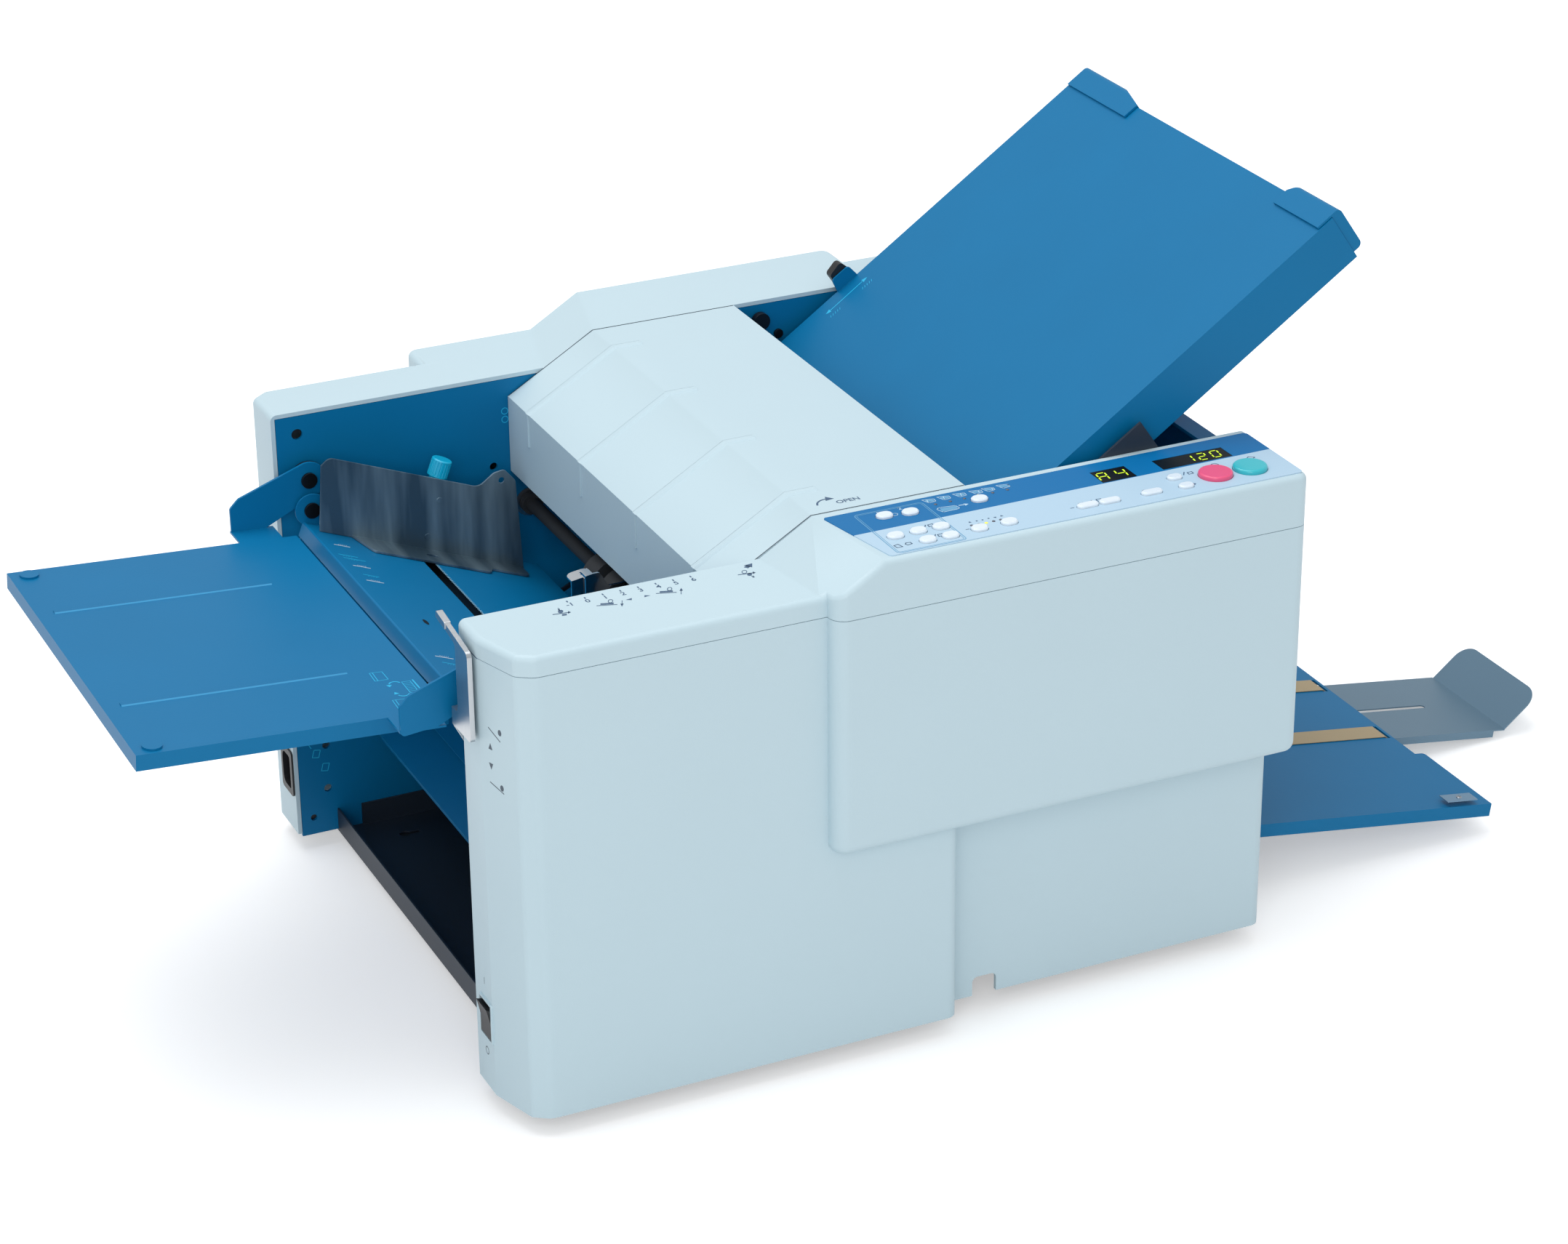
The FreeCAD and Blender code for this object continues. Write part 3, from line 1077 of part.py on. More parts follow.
# ---------------------------------------------------------------- buckle plates
def fold_plate_1():
    """Upper buckle plate: box of folded sheet around the two plates that bound the paper gap."""
    length, half, depth = PLATE_1_L, PLATE_1_HALF, PLATE_1_DEPTH
    top = block(0, length, -half, half, -SHEET, 0)
    sides = both(block(0, length, half - SHEET, half, -depth, 0))
    end = block(length - SHEET, length, -half, half, -depth, 0)
    level = -PLATE_1_GAP_LEVEL
    upper = block(0, length, SHEET - half, half - SHEET, level + PAPER_GAP / 2, level + PAPER_GAP / 2 + 1)
    lower = block(0, length, SHEET - half, half - SHEET, level - PAPER_GAP / 2 - 1, level - PAPER_GAP / 2)
    bar = block(20, 26, SHEET - half, half - SHEET, -depth, level - PAPER_GAP / 2)
    slide_rod = Part.makeCylinder(GUIDE_ROD_R, length - 24, Vector(23, 0, -ROD_LEVEL), Vector(1, 0, 0))
    slot = block(35, length - 12, -4, 4, level - PAPER_GAP / 2 - 2, level - PAPER_GAP / 2 + 0.5)
    lug = side_prism([(CLAMP_AT - 10, -2), (CLAMP_AT - 8, CLAMP_UP + 6, 3), (CLAMP_AT + 8, CLAMP_UP + 6, 3),
                      (CLAMP_AT + 10, -2)], half - SHEET, half)
    pin = rod((CLAMP_AT, CLAMP_UP), 2.5, half - 1, HALF - 1)
    body = join(join(top, end, lower, *sides).cut(slot), upper, bar, slide_rod, lug, pin)
    return lay(body, PLATE_1, PLATE_1_SLOPE)


def plate_1_caps():
    """Moulded caps over the corners of the upper plate's free end."""
    length, depth = PLATE_1_L, PLATE_1_DEPTH
    out = length + CAP_OVER
    profile = [(length - 12, FIT), (length - 12, 2.0), (out, 2.0, 4), (out, -depth + 4, 4),
               (length + FIT, -depth + 4),
               (length + FIT, FIT)]

    def cap(inner, taper):
        body = side_prism(profile, inner - taper, PLATE_1_HALF - 1)
        plan = plan_prism([(length - 13, PLATE_1_HALF), (length - 13, inner - taper),
                           (length + 0.6, inner - taper),
                           (out + 1, inner, 3), (out + 1, PLATE_1_HALF)], -depth, 4)
        return body.common(plan)
    caps = [cap(121.0, 33.0), mirrored(cap(124.0, 8.0))]
    return group(lay(piece, PLATE_1, PLATE_1_SLOPE) for piece in caps)


def fold_stop_1():
    """Stop bar in the paper gap, with the neck and carriage that run on the guide rod."""
    level = -PLATE_1_GAP_LEVEL
    thick = PAPER_GAP - 1.2
    bar = block(STOP_1_AT - 3, STOP_1_AT + 3, -STOP_HALF, STOP_HALF, level - thick / 2, level + thick / 2)
    neck = block(STOP_1_AT - 3, STOP_1_AT + 3, -3, 3, 6 - ROD_LEVEL, level)
    carriage = block(STOP_1_AT - 15, STOP_1_AT + 15, -12, 12, -ROD_LEVEL - 7, 8 - ROD_LEVEL)
    bore = Part.makeCylinder(GUIDE_ROD_R + RUN, 40, Vector(STOP_1_AT - 20, 0, -ROD_LEVEL), Vector(1, 0, 0))
    return lay(join(bar, neck, carriage).cut(bore), PLATE_1, PLATE_1_SLOPE)


def plate_clamp():
    """Latch block at the rear edge of the upper plate, turning on the plate's pin."""
    centre = (CLAMP_AT, CLAMP_UP)
    y0, y1 = PLATE_1_HALF + FIT, HALF - 1.6
    body = side_prism([(CLAMP_AT - 7, CLAMP_UP - 5, 2), (CLAMP_AT - 7, CLAMP_UP + 9, 3),
                       (CLAMP_AT + 5, CLAMP_UP + 12, 3),
                       (CLAMP_AT + 8, CLAMP_UP + 2, 3), (CLAMP_AT + 6, CLAMP_UP - 5, 2)], y0, y1)
    return lay(body.cut(rod(centre, 2.5 + RUN, y0 - 1, y1 + 1)), PLATE_1, PLATE_1_SLOPE)


def rail(depth, span, half, rise):
    """Angle rail on the rear frame's inner face, under a plate's side flange."""
    top = -depth - FIT
    return join(block(*span, half - RAIL_LEDGE, HALF, top - RAIL_T, top),
                block(*span, HALF - RAIL_T, HALF, top, top + rise))


def plate_rails():
    upper = rail(PLATE_1_DEPTH, RAIL_1, PLATE_1_HALF, RAIL_1_RISE)
    lower = rail(PLATE_2_DEPTH, RAIL_2, PLATE_2_HALF, RAIL_2_RISE)
    return group([lay(piece, PLATE_1, PLATE_1_SLOPE) for piece in both(upper)]
                 + [lay(piece, PLATE_2, PLATE_2_SLOPE) for piece in both(lower)])


def fold_plate_2():
    """Lower buckle plate: lower sheet with flanges, shorter upper sheet, slot and guide rod."""
    length, half, depth, t = PLATE_2_L, PLATE_2_HALF, PLATE_2_DEPTH, PLATE_2_T
    lower = block(0, length, -half, half, -t, 0)
    end = block(0, t, -half, half, -depth, 0)
    sides = both(block(0, length, half - SHEET, half, -depth, 0))
    upper_sides = both(block(PLATE_2_SETBACK, length, half - SHEET, half, -t, PAPER_GAP + t))
    upper = block(PLATE_2_SETBACK, length, -half, half, PAPER_GAP, PAPER_GAP + t)
    bar = block(length - 16, length - 12, SHEET - half, half - SHEET, -depth, -t)
    slide_rod = Part.makeCylinder(ROD_2_R, length - 14, Vector(0.5, 0, -ROD_2_LEVEL), Vector(1, 0, 0))
    slot = block(PLATE_2_SETBACK + 4, length - 18, -3.5, 3.5, -t - 1, 0.5)
    body = join(join(lower, end, *sides).cut(slot), upper, bar, slide_rod, *upper_sides)
    return lay(body, PLATE_2, PLATE_2_SLOPE)


def fold_stop_2():
    thick = PAPER_GAP - 1.2
    bar = block(STOP_2_AT - 3, STOP_2_AT + 3, -STOP_HALF, STOP_HALF, 0.6, 0.6 + thick)
    neck = block(STOP_2_AT - 3, STOP_2_AT + 3, -2.7, 2.7, -4, 1)
    carriage = block(STOP_2_AT - 11, STOP_2_AT + 11, -9, 9, -ROD_2_LEVEL - 5, 5 - ROD_2_LEVEL)
    bore = Part.makeCylinder(ROD_2_R + RUN, 30, Vector(STOP_2_AT - 15, 0, -ROD_2_LEVEL), Vector(1, 0, 0))
    return lay(join(bar, neck, carriage).cut(bore), PLATE_2, PLATE_2_SLOPE)


# ---------------------------------------------------------------- top cover
def top_cover():
    """Hinged cover over the rollers: folded skin, end webs and four shallow ribs."""
    half = HALF - COVER_GAP
    knee = (COVER_X, COVER_KNEE)
    line = [(COVER_X, COVER_FOOT), knee, (RAMP_HEAD, HIGH_TOP), (COVER_END, HIGH_TOP),
            (COVER_END, HIGH_TOP - COVER_TAIL)]
    skin = side_prism(strip(line, COVER_T), -half, half)
    web = side_prism(line[:-1] + [(COVER_END, HIGH_TOP - COVER_TAIL - 2),
                                  (COVER_PIN_X - 7, HIGH_TOP - 17.5, 4),
                                  (RAMP_HEAD + 5, HIGH_TOP - 17.5, 8), (COVER_X + 13, COVER_KNEE - 13, 8),
                                  (COVER_X + COVER_T, COVER_FOOT + 15)], half - COVER_T, half)
    rib_line = [(COVER_X, RIB_FOOT), knee, (RAMP_HEAD, HIGH_TOP), (RIB_HEAD, HIGH_TOP)]
    rib_outer = strip(rib_line[::-1], RIB_H)
    ribs = [side_prism(rib_outer, y - RIB_W / 2, y + RIB_W / 2)
            for y in (-1.5 * RIB_STEP, -0.5 * RIB_STEP, 0.5 * RIB_STEP, 1.5 * RIB_STEP)]
    body = join(skin, *both(web), *ribs)
    return body.cut(rod(COVER_PIN, COVER_PIN_R + RUN, -HALF, HALF))


def cover_hinge_pins():
    inner = HALF - COVER_GAP - COVER_T - 1
    return group(both(rod(COVER_PIN, COVER_PIN_R, inner, HALF)))


# ---------------------------------------------------------------- delivery tray
def receiving_tray():
    """Delivery tray drawn flat about its shaft: sheet, flanges, ears, guide bar and stopper pins."""
    top, low = OUT_TOP, OUT_TOP - OUT_FLANGE
    back = DRUM_R + 2.5
    plan = [(back, -OUT_HALF), (OUT_FRONT_L, -OUT_HALF), (OUT_FRONT_L, OUT_FRONT_Y, 3),
            (OUT_L, OUT_FRONT_Y), (OUT_L, OUT_HALF), (back, OUT_HALF)]
    body = plan_prism(plan, low, top)
    pocket = [(back - 1, SHEET - OUT_HALF), (OUT_FRONT_L - SHEET, SHEET - OUT_HALF),
              (OUT_FRONT_L - SHEET, OUT_FRONT_Y - SHEET), (OUT_L - SHEET, OUT_FRONT_Y - SHEET),
              (OUT_L - SHEET, OUT_HALF - SHEET), (back - 1, OUT_HALF - SHEET)]
    body = body.cut(plan_prism(pocket, low - 1, top - SHEET))
    ears = both(join(rod((0, 0), DRIVE_R + 5, OUT_HALF - SHEET, OUT_HALF),
                     side_prism([(0, low), (0, top), (back + 6, top), (back + 6, low)], OUT_HALF - SHEET,
                                OUT_HALF)))
    bar = rod((GUIDE_BAR_X, GUIDE_BAR_R - 3.6), GUIDE_BAR_R, SHEET - OUT_HALF, OUT_HALF - SHEET)
    pins = []
    for x in STOPPER_PINS:
        pins += [post(x, 0, 2, 0.5, top - SHEET), post(x, 0, 4, -0.4, 1.0)]
    straps = []
    cradle = STOPPER_HALF + 6
    for x0, x1 in STRAPS:
        straps += [block(x0, x1, -cradle - SHEET, cradle + SHEET, -5.6, -4.1)]
        straps += both(block(x0, x1, cradle, cradle + SHEET, -5.6, top - SHEET))
    notch = block(OUT_L - 2 * SHEET, OUT_L + 1, -STOPPER_HALF - 2, STOPPER_HALF + 2, low - 1, 3.4)
    lanes = both(block(NOSE_X, NOSE_X + 4.5, BELT_Y - BELT_W / 2 - 1, BELT_Y + BELT_W / 2 + 1,
                       top - SHEET - 1, top + 1))
    bore = rod((0, 0), DRIVE_R + RUN, -OUT_HALF - 1, OUT_HALF + 1)
    body = join(body.cut([notch] + lanes), bar, *ears, *pins, *straps)
    return lay(body.cut(bore), DRIVE, OUT_SLOPE)


def belt_face(gap, y0):
    """Side outline of a conveyor belt loop: drum, top run, nose, return run over the guide bar."""
    drum = DRUM_R + FIT + gap
    top = drum
    under = OUT_TOP - SHEET - FIT - gap
    nose = (top - under) / 2
    bend = (GUIDE_BAR_X + 2, under)
    dist = math.hypot(*bend)
    touch = math.atan2(bend[1], bend[0]) - math.acos(drum / dist)

    def at(x, z):
        return Vector(x, y0, z)
    leave = at(drum * math.cos(touch), drum * math.sin(touch))
    middle = (top + under) / 2
    edges = [Part.makeLine(at(0, top), at(NOSE_X, top)),
             Part.Arc(at(NOSE_X, top), at(NOSE_X + nose, middle), at(NOSE_X, under)).toShape(),
             Part.makeLine(at(NOSE_X, under), at(*bend)), Part.makeLine(at(*bend), leave),
             Part.Arc(leave, at(-drum, 0), at(0, top)).toShape()]
    return Part.Face(Part.Wire(edges))


def conveyor_belts():
    y0 = BELT_Y - BELT_W / 2
    loop = belt_face(STRAP_T, y0).extrude(Vector(0, BELT_W, 0))
    loop = loop.cut(belt_face(0.0, y0 - 1).extrude(Vector(0, BELT_W + 2, 0)))
    return group(lay(piece, DRIVE, OUT_SLOPE) for piece in both(loop))


def conveyor_drive_shaft():
    end = FRAME_OUT + 2.2
    drums = both(rod(DRIVE, DRUM_R, BELT_Y - BELT_W / 2, BELT_Y + BELT_W / 2))
    collars = both(rod(DRIVE, DRIVE_R + 3, FRAME_OUT + FIT, end))
    return join(rod(DRIVE, DRIVE_R, -end, end), *drums, *collars)


def paper_stopper():
    """Sliding channel with a leaning, round-cornered stop wall at its outer end."""
    high, low = OUT_TOP - 3.0, OUT_TOP - 4.0
    half = STOPPER_HALF
    plate = block(STOPPER_IN, STOPPER_OUT, -half, half, low, high)
    flanges = both(block(STOPPER_IN, STOPPER_OUT - 10, half - SHEET, half, low - 5, high))
    slot = plan_prism([(STOPPER_SLOT[0], -2.5, 2.4), (STOPPER_SLOT[1], -2.5, 2.4),
                       (STOPPER_SLOT[1], 2.5, 2.4),
                       (STOPPER_SLOT[0], 2.5, 2.4)], low - 1, high + 1)
    wall = plan_prism([(0, -half + 1), (STOPPER_UP, -half + 1, 14), (STOPPER_UP, half - 1, 14),
                       (0, half - 1)], -1, 0)
    wall = lay(wall, (STOPPER_OUT, high), STOPPER_LEAN)
    bend = rod((STOPPER_OUT, high - 0.5), 0.5, 1 - half, half - 1)
    return lay(join(plate, wall, bend, *flanges).cut(slot), DRIVE, OUT_SLOPE)


# ---------------------------------------------------------------- the whole machine
def on_deck(piece):
    return lay(piece, DECK, DECK_SLOPE)


def build():
    """Every node of the machine in model axes."""
    nodes = {
        "base_pan": base_pan(), "rubber_feet": rubber_feet(), "rear_side_frame": rear_side_frame(),
        "front_side_frame": front_side_frame(), "rear_housing": rear_housing(), "front_housing": front_housing(),
        "front_cap": front_cap(), "panel_overlay": panel_overlay(), "display_modules": display_modules(),
        "mains_inlet": mains_inlet(), "power_rocker": power_rocker(), "tie_rods": tie_rods(),
        "right_end_plate": right_end_plate(), "delivery_chute": delivery_chute(), "plate_rails": plate_rails(),
        "roller_bearings": roller_bearings(), "drive_motor": drive_motor(), "motor_pulley": motor_pulley(),
        "drive_belt": drive_belt(), "pivot_screws": pivot_screws(), "cover_hinge_pins": cover_hinge_pins(),
        "feed_deck": feed_deck(), "rear_side_guide": on_deck(side_guide()),
        "front_side_guide": on_deck(mirrored(side_guide())), "rear_guide_knob": on_deck(guide_knob()),
        "front_guide_knob": on_deck(mirrored(guide_knob())), "feed_tray": feed_tray(),
        "separator_bracket": separator_bracket(), "feed_roller": feed_roller(), "fold_plate_1": fold_plate_1(),
        "plate_1_caps": plate_1_caps(), "fold_stop_1": fold_stop_1(), "plate_clamp": plate_clamp(),
        "fold_plate_2": fold_plate_2(), "fold_stop_2": fold_stop_2(), "top_cover": top_cover(),
        "receiving_tray": receiving_tray(), "conveyor_belts": conveyor_belts(),
        "conveyor_drive_shaft": conveyor_drive_shaft(), "paper_stopper": paper_stopper(),
        "skew_lever": skew_lever(), "stop_button": round_key(STOP_KEY), "start_button": round_key(START_KEY),
    }
    for index in range(len(ROLLERS)):
        nodes["fold_roller_%d" % (index + 1)] = roller(index)
        nodes["roller_gear_%d" % (index + 1)] = roller_gear(index)
    for name in KEYS:
        nodes[name] = key_group(name)
    return nodes


NODES = build()
BOX = Part.makeCompound(list(NODES.values())).BoundBox
ORIGIN = Vector(BOX.Center.x, BOX.Center.y, BOX.ZMin)

os.makedirs("parts", exist_ok=True)
for node, shape in NODES.items():
    stored = shape.copy()
    stored.translate(-ORIGIN)
    stored.exportStep("parts/" + node + ".step")
    print(node, "solids", len(stored.Solids), "valid", stored.isValid(), "volume", round(stored.Volume))
print("nodes", len(NODES), "size", round(BOX.XLength, 1), round(BOX.YLength, 1), round(BOX.ZLength, 1))
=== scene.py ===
# %% [markdown]
# # A desk-top paper folding machine, dressed
# The solid parts of this machine already exist: every cover, roller, plate and key arrives
# as its own node. This lesson gives them their finishes, adds the small printed and pressed
# details, and lights the result. We work in metres, in the frame of the solid parts.

# %% Load the solid parts
import json
import math

import bmesh
import bpy
from mathutils import Matrix, Vector


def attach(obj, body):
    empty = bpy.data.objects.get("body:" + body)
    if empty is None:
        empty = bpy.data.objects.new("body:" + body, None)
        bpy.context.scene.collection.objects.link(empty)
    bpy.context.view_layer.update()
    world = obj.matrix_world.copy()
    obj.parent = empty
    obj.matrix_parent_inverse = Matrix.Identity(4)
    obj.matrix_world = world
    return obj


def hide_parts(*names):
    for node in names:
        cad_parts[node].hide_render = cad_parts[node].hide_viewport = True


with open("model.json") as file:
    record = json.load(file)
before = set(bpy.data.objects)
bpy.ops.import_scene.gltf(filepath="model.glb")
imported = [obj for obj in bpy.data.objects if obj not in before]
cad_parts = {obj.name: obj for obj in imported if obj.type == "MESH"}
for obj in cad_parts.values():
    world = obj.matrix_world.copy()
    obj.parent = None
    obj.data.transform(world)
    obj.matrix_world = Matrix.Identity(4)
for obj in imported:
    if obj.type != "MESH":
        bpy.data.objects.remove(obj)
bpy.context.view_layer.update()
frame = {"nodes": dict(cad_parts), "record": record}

scene = bpy.context.scene
scene.view_settings.view_transform = "Standard"
print("solid parts:", len(frame["nodes"]))

# %% [markdown]
# Drawings of a machine are in millimetres with their own zero. One small function turns
# such a drawing point into the scene's metres, so that every later number can be read
# straight from a ruler.

# %% Drawing millimetres to scene metres
ZERO = Vector((343.98, -2.875, -14.0))
MM = 0.001


def at(x, y, z):
    return (Vector((x, y, z)) - ZERO) * MM


PANEL_TOP = 352.1      # top of the panel film
CAP_LOW = 329.0        # top of the covers beside the feed tray
CAP_HIGH = 351.5
print("panel corner:", at(546.2, -261.0, PANEL_TOP))

# %% [markdown]
# ## Finishes
# A real finish is never one flat colour. Moulded covers have a fine spark-eroded grain,
# paint has a slight ripple, and ground steel is streaked along the direction of grinding.
# Each finish below is a Principled shader whose bump and faint mottle of colour come from noise on
# Object coordinates, which keeps the grain the same size on every piece.

# %% A helper for finishes
GRAIN_DEPTH = 0.0002       # metres of bump
MOTTLE_SIZE = 14           # scale of the broad, faint change of colour


def finish(name, colour, roughness, metallic=0.0, grain=0.0, grain_size=900.0, stretch=(1, 1, 1),
           mottle=0.0, coat=0.0, specular=0.5):
    """A Principled material with grain in bump and a faint mottle in colour."""
    material = bpy.data.materials.new(name)
    material.use_nodes = True
    nodes, links = material.node_tree.nodes, material.node_tree.links
    shader = nodes["Principled BSDF"]
    shader.inputs["Base Color"].default_value = (*colour, 1)
    shader.inputs["Roughness"].default_value = roughness
    shader.inputs["Metallic"].default_value = metallic
    shader.inputs["Coat Weight"].default_value = coat
    shader.inputs["Specular IOR Level"].default_value = specular
    if not (grain or mottle):
        return material
    place = nodes.new("ShaderNodeTexCoord")
    mapping = nodes.new("ShaderNodeMapping")
    mapping.inputs["Scale"].default_value = stretch
    links.new(place.outputs["Object"], mapping.inputs["Vector"])
    noise = nodes.new("ShaderNodeTexNoise")
    noise.inputs["Scale"].default_value = grain_size
    noise.inputs["Detail"].default_value = 3
    links.new(mapping.outputs["Vector"], noise.inputs["Vector"])
    if grain:
        bump = nodes.new("ShaderNodeBump")
        bump.inputs["Strength"].default_value = grain
        bump.inputs["Distance"].default_value = GRAIN_DEPTH
        links.new(noise.outputs["Fac"], bump.inputs["Height"])
        links.new(bump.outputs["Normal"], shader.inputs["Normal"])
    if mottle:
        broad = nodes.new("ShaderNodeTexNoise")
        broad.inputs["Scale"].default_value = MOTTLE_SIZE
        broad.inputs["Detail"].default_value = 4
        links.new(mapping.outputs["Vector"], broad.inputs["Vector"])
        mix = nodes.new("ShaderNodeMix")
        mix.data_type = "RGBA"
        mix.inputs["A"].default_value = (*[c * (1 - mottle) for c in colour], 1)
        mix.inputs["B"].default_value = (*[min(1, c * (1 + mottle)) for c in colour], 1)
        links.new(broad.outputs["Fac"], mix.inputs["Factor"])
        links.new(mix.outputs["Result"], shader.inputs["Base Color"])
    return material


def srgb(r, g, b):
    """A colour as written on screen, 0 to 255, in the linear values a shader wants."""
    low_end = 10           # up to here the curve of screen values is a straight line
    return tuple((c / 255 / 12.92) if c <= low_end else ((c / 255 + 0.055) / 1.055) ** 2.4 for c in (r, g, b))


# %% [markdown]
# The palette: pale moulded covers, blue painted steel, darker steel inside the bay, bright
# ground steel for rods and rollers, and small accents in turquoise, white, red and black.

# %% The palette
FINISHES = {
    "cover_plastic": finish("moulded cover", srgb(188, 210, 219), 0.45, grain=0.25, grain_size=1400,
                            mottle=0.012),
    "blue_steel": finish("blue enamel on steel", srgb(2, 110, 160), 0.42, grain=0.12, grain_size=500,
                         mottle=0.05, specular=0.2),
    "dark_steel": finish("dark enamel on steel", srgb(30, 42, 56), 0.5, grain=0.12, grain_size=500,
                         mottle=0.05),
    "bright_steel": finish("ground steel", srgb(186, 190, 194), 0.3, metallic=1.0, grain=0.25, grain_size=300,
                           stretch=(1, 30, 1), mottle=0.05),
    "chromed_steel": finish("chromed steel", srgb(214, 218, 222), 0.12, metallic=1.0),
    "roller_rubber": finish("roller rubber", srgb(46, 48, 50), 0.7, grain=0.4, grain_size=700, mottle=0.1),
    "foot_rubber": finish("foot rubber", srgb(34, 34, 35), 0.75, grain=0.4, grain_size=700),
    "black_plastic": finish("black moulding", srgb(24, 25, 28), 0.45, grain=0.25, grain_size=1200),
    "black_steel": finish("blackened screws", srgb(26, 29, 34), 0.35, metallic=0.6, grain=0.15),
    "blue_plastic": finish("blue moulding", srgb(2, 110, 160), 0.4, grain=0.2, grain_size=1200, mottle=0.02,
                           specular=0.2),
    "knob_plastic": finish("turquoise knob", srgb(16, 172, 210), 0.25, coat=0.3),
    "key_plastic": finish("white key", srgb(222, 233, 242), 0.28, coat=0.25),
    "stop_plastic": finish("red key", srgb(232, 84, 128), 0.28, coat=0.25),
    "start_plastic": finish("green key", srgb(48, 184, 196), 0.28, coat=0.25),
    "display_window": finish("display window", srgb(8, 10, 12), 0.35, specular=0.15),
    "gear_plastic": finish("gear moulding", srgb(218, 216, 204), 0.45, grain=0.15),
    "stopper_steel": finish("stopper enamel", srgb(98, 128, 148), 0.36, metallic=0.3, grain=0.12,
                            grain_size=500, mottle=0.04),
    "motor_metal": finish("motor can", srgb(92, 96, 102), 0.4, metallic=0.8, grain=0.2),
}
print("finishes:", len(FINISHES))

# %% [markdown]
# The side guides are dark ground steel. The room's reflection in them, soft upright streaks,
# is painted into their colour: a noise squeezed along X and left long along Z gives such
# streaks, and a colour ramp keeps most of the plate dark with a few lighter bands of painted reflection.

# %% Painted reflection streaks on the side-guide steel


def streaked(name, dark, light, roughness, across):
    """Dark metal with soft upright streaks of painted reflection."""
    material = finish(name, dark, roughness, metallic=0.6, grain=0.15, grain_size=500, stretch=(8, 8, 1))
    nodes, links = material.node_tree.nodes, material.node_tree.links
    place = nodes.new("ShaderNodeTexCoord")
    squeeze = nodes.new("ShaderNodeMapping")
    squeeze.inputs["Scale"].default_value = (across, 1, 1)
    reflection_streaks = nodes.new("ShaderNodeTexNoise")
    reflection_streaks.inputs["Scale"].default_value = 4
    reflection_streaks.inputs["Detail"].default_value = 4
    ramp = nodes.new("ShaderNodeValToRGB")
    ramp.color_ramp.elements[0].position = 0.5
    ramp.color_ramp.elements[0].color = (*dark, 1)
    ramp.color_ramp.elements[1].position = 0.72
    ramp.color_ramp.elements[1].color = (*light, 1)
    links.new(place.outputs["Object"], squeeze.inputs["Vector"])
    links.new(squeeze.outputs["Vector"], reflection_streaks.inputs["Vector"])
    links.new(reflection_streaks.outputs["Fac"], ramp.inputs["Fac"])
    links.new(ramp.outputs["Color"], nodes["Principled BSDF"].inputs["Base Color"])
    return material


# The lighter colour here is painted reflection of the room, not a second tone of the steel.
FINISHES["guide_steel"] = streaked("guide steel with painted reflections", srgb(74, 98, 114), srgb(146, 168, 180), 0.36, 9)
print("guide finish:", FINISHES["guide_steel"].name)

# %% [markdown]
# The delivery belts are woven: fine cross threads under a thin coat of rubber. A wave
# texture along each axis, multiplied together, gives the weave to the bump.

# %% Woven belt


def woven(name, colour, threads):
    """Belt cloth: two crossed waves in the bump."""
    material = finish(name, colour, 0.8, mottle=0.05)
    nodes, links = material.node_tree.nodes, material.node_tree.links
    place = nodes.new("ShaderNodeTexCoord")
    weave = nodes.new("ShaderNodeMath")
    weave.operation = "MULTIPLY"
    for slot, direction in enumerate(("X", "Y")):
        wave = nodes.new("ShaderNodeTexWave")
        wave.bands_direction = direction
        wave.inputs["Scale"].default_value = threads
        links.new(place.outputs["Object"], wave.inputs["Vector"])
        links.new(wave.outputs["Fac"], weave.inputs[slot])
    bump = nodes.new("ShaderNodeBump")
    bump.inputs["Strength"].default_value = 0.5
    bump.inputs["Distance"].default_value = 0.0003
    links.new(weave.outputs["Value"], bump.inputs["Height"])
    links.new(bump.outputs["Normal"], nodes["Principled BSDF"].inputs["Normal"])
    return material


FINISHES["belt_rubber"] = woven("woven belt", srgb(178, 160, 128), 300)
print("belt finish:", FINISHES["belt_rubber"].name)

# %% [markdown]
# The panel film is printed in two colours: a dark blue strip behind, and a pale grey field
# with the keys in front. The border is a straight line across the film, so a comparison of
# Object coordinates with that line picks the colour.

# %% The two-colour panel film
FIELD_COLOUR, STRIP_COLOUR = srgb(178, 205, 224), srgb(0, 108, 168)


def panel_film():
    material = finish("panel film", FIELD_COLOUR, 0.4, specular=0.2)
    nodes, links = material.node_tree.nodes, material.node_tree.links
    shader = nodes["Principled BSDF"]
    left, right = at(242.2, -223.0, 0), at(548.4, -218.7, 0)
    slope = (right.y - left.y) / (right.x - left.x)
    place = nodes.new("ShaderNodeTexCoord")
    apart = nodes.new("ShaderNodeSeparateXYZ")
    links.new(place.outputs["Object"], apart.inputs["Vector"])
    line = nodes.new("ShaderNodeMath")
    line.operation = "MULTIPLY_ADD"
    line.inputs[1].default_value = slope
    line.inputs[2].default_value = left.y - slope * left.x
    links.new(apart.outputs["X"], line.inputs[0])
    behind = nodes.new("ShaderNodeMath")
    behind.operation = "GREATER_THAN"
    links.new(apart.outputs["Y"], behind.inputs[0])
    links.new(line.outputs["Value"], behind.inputs[1])
    mix = nodes.new("ShaderNodeMix")
    mix.data_type = "RGBA"
    mix.inputs["A"].default_value = (*FIELD_COLOUR, 1)
    mix.inputs["B"].default_value = (*STRIP_COLOUR, 1)
    links.new(behind.outputs["Value"], mix.inputs["Factor"])
    links.new(mix.outputs["Result"], shader.inputs["Base Color"])
    return material


FINISHES["panel_film"] = panel_film()

# %% [markdown]
# ## Dressing the solid parts
# Sheet metal and mouldings catch the light along their edges, and the solid parts have
# perfectly sharp ones. A copy of each mesh, merged and cleaned of needless edges, takes a
# narrow Bevel that rounds what is sharper than a set angle. A Weighted Normal modifier then
# lets the large flat faces decide the shading, so that only the narrow rounds look curved.
# The copy stands for its node and moves with the same body.

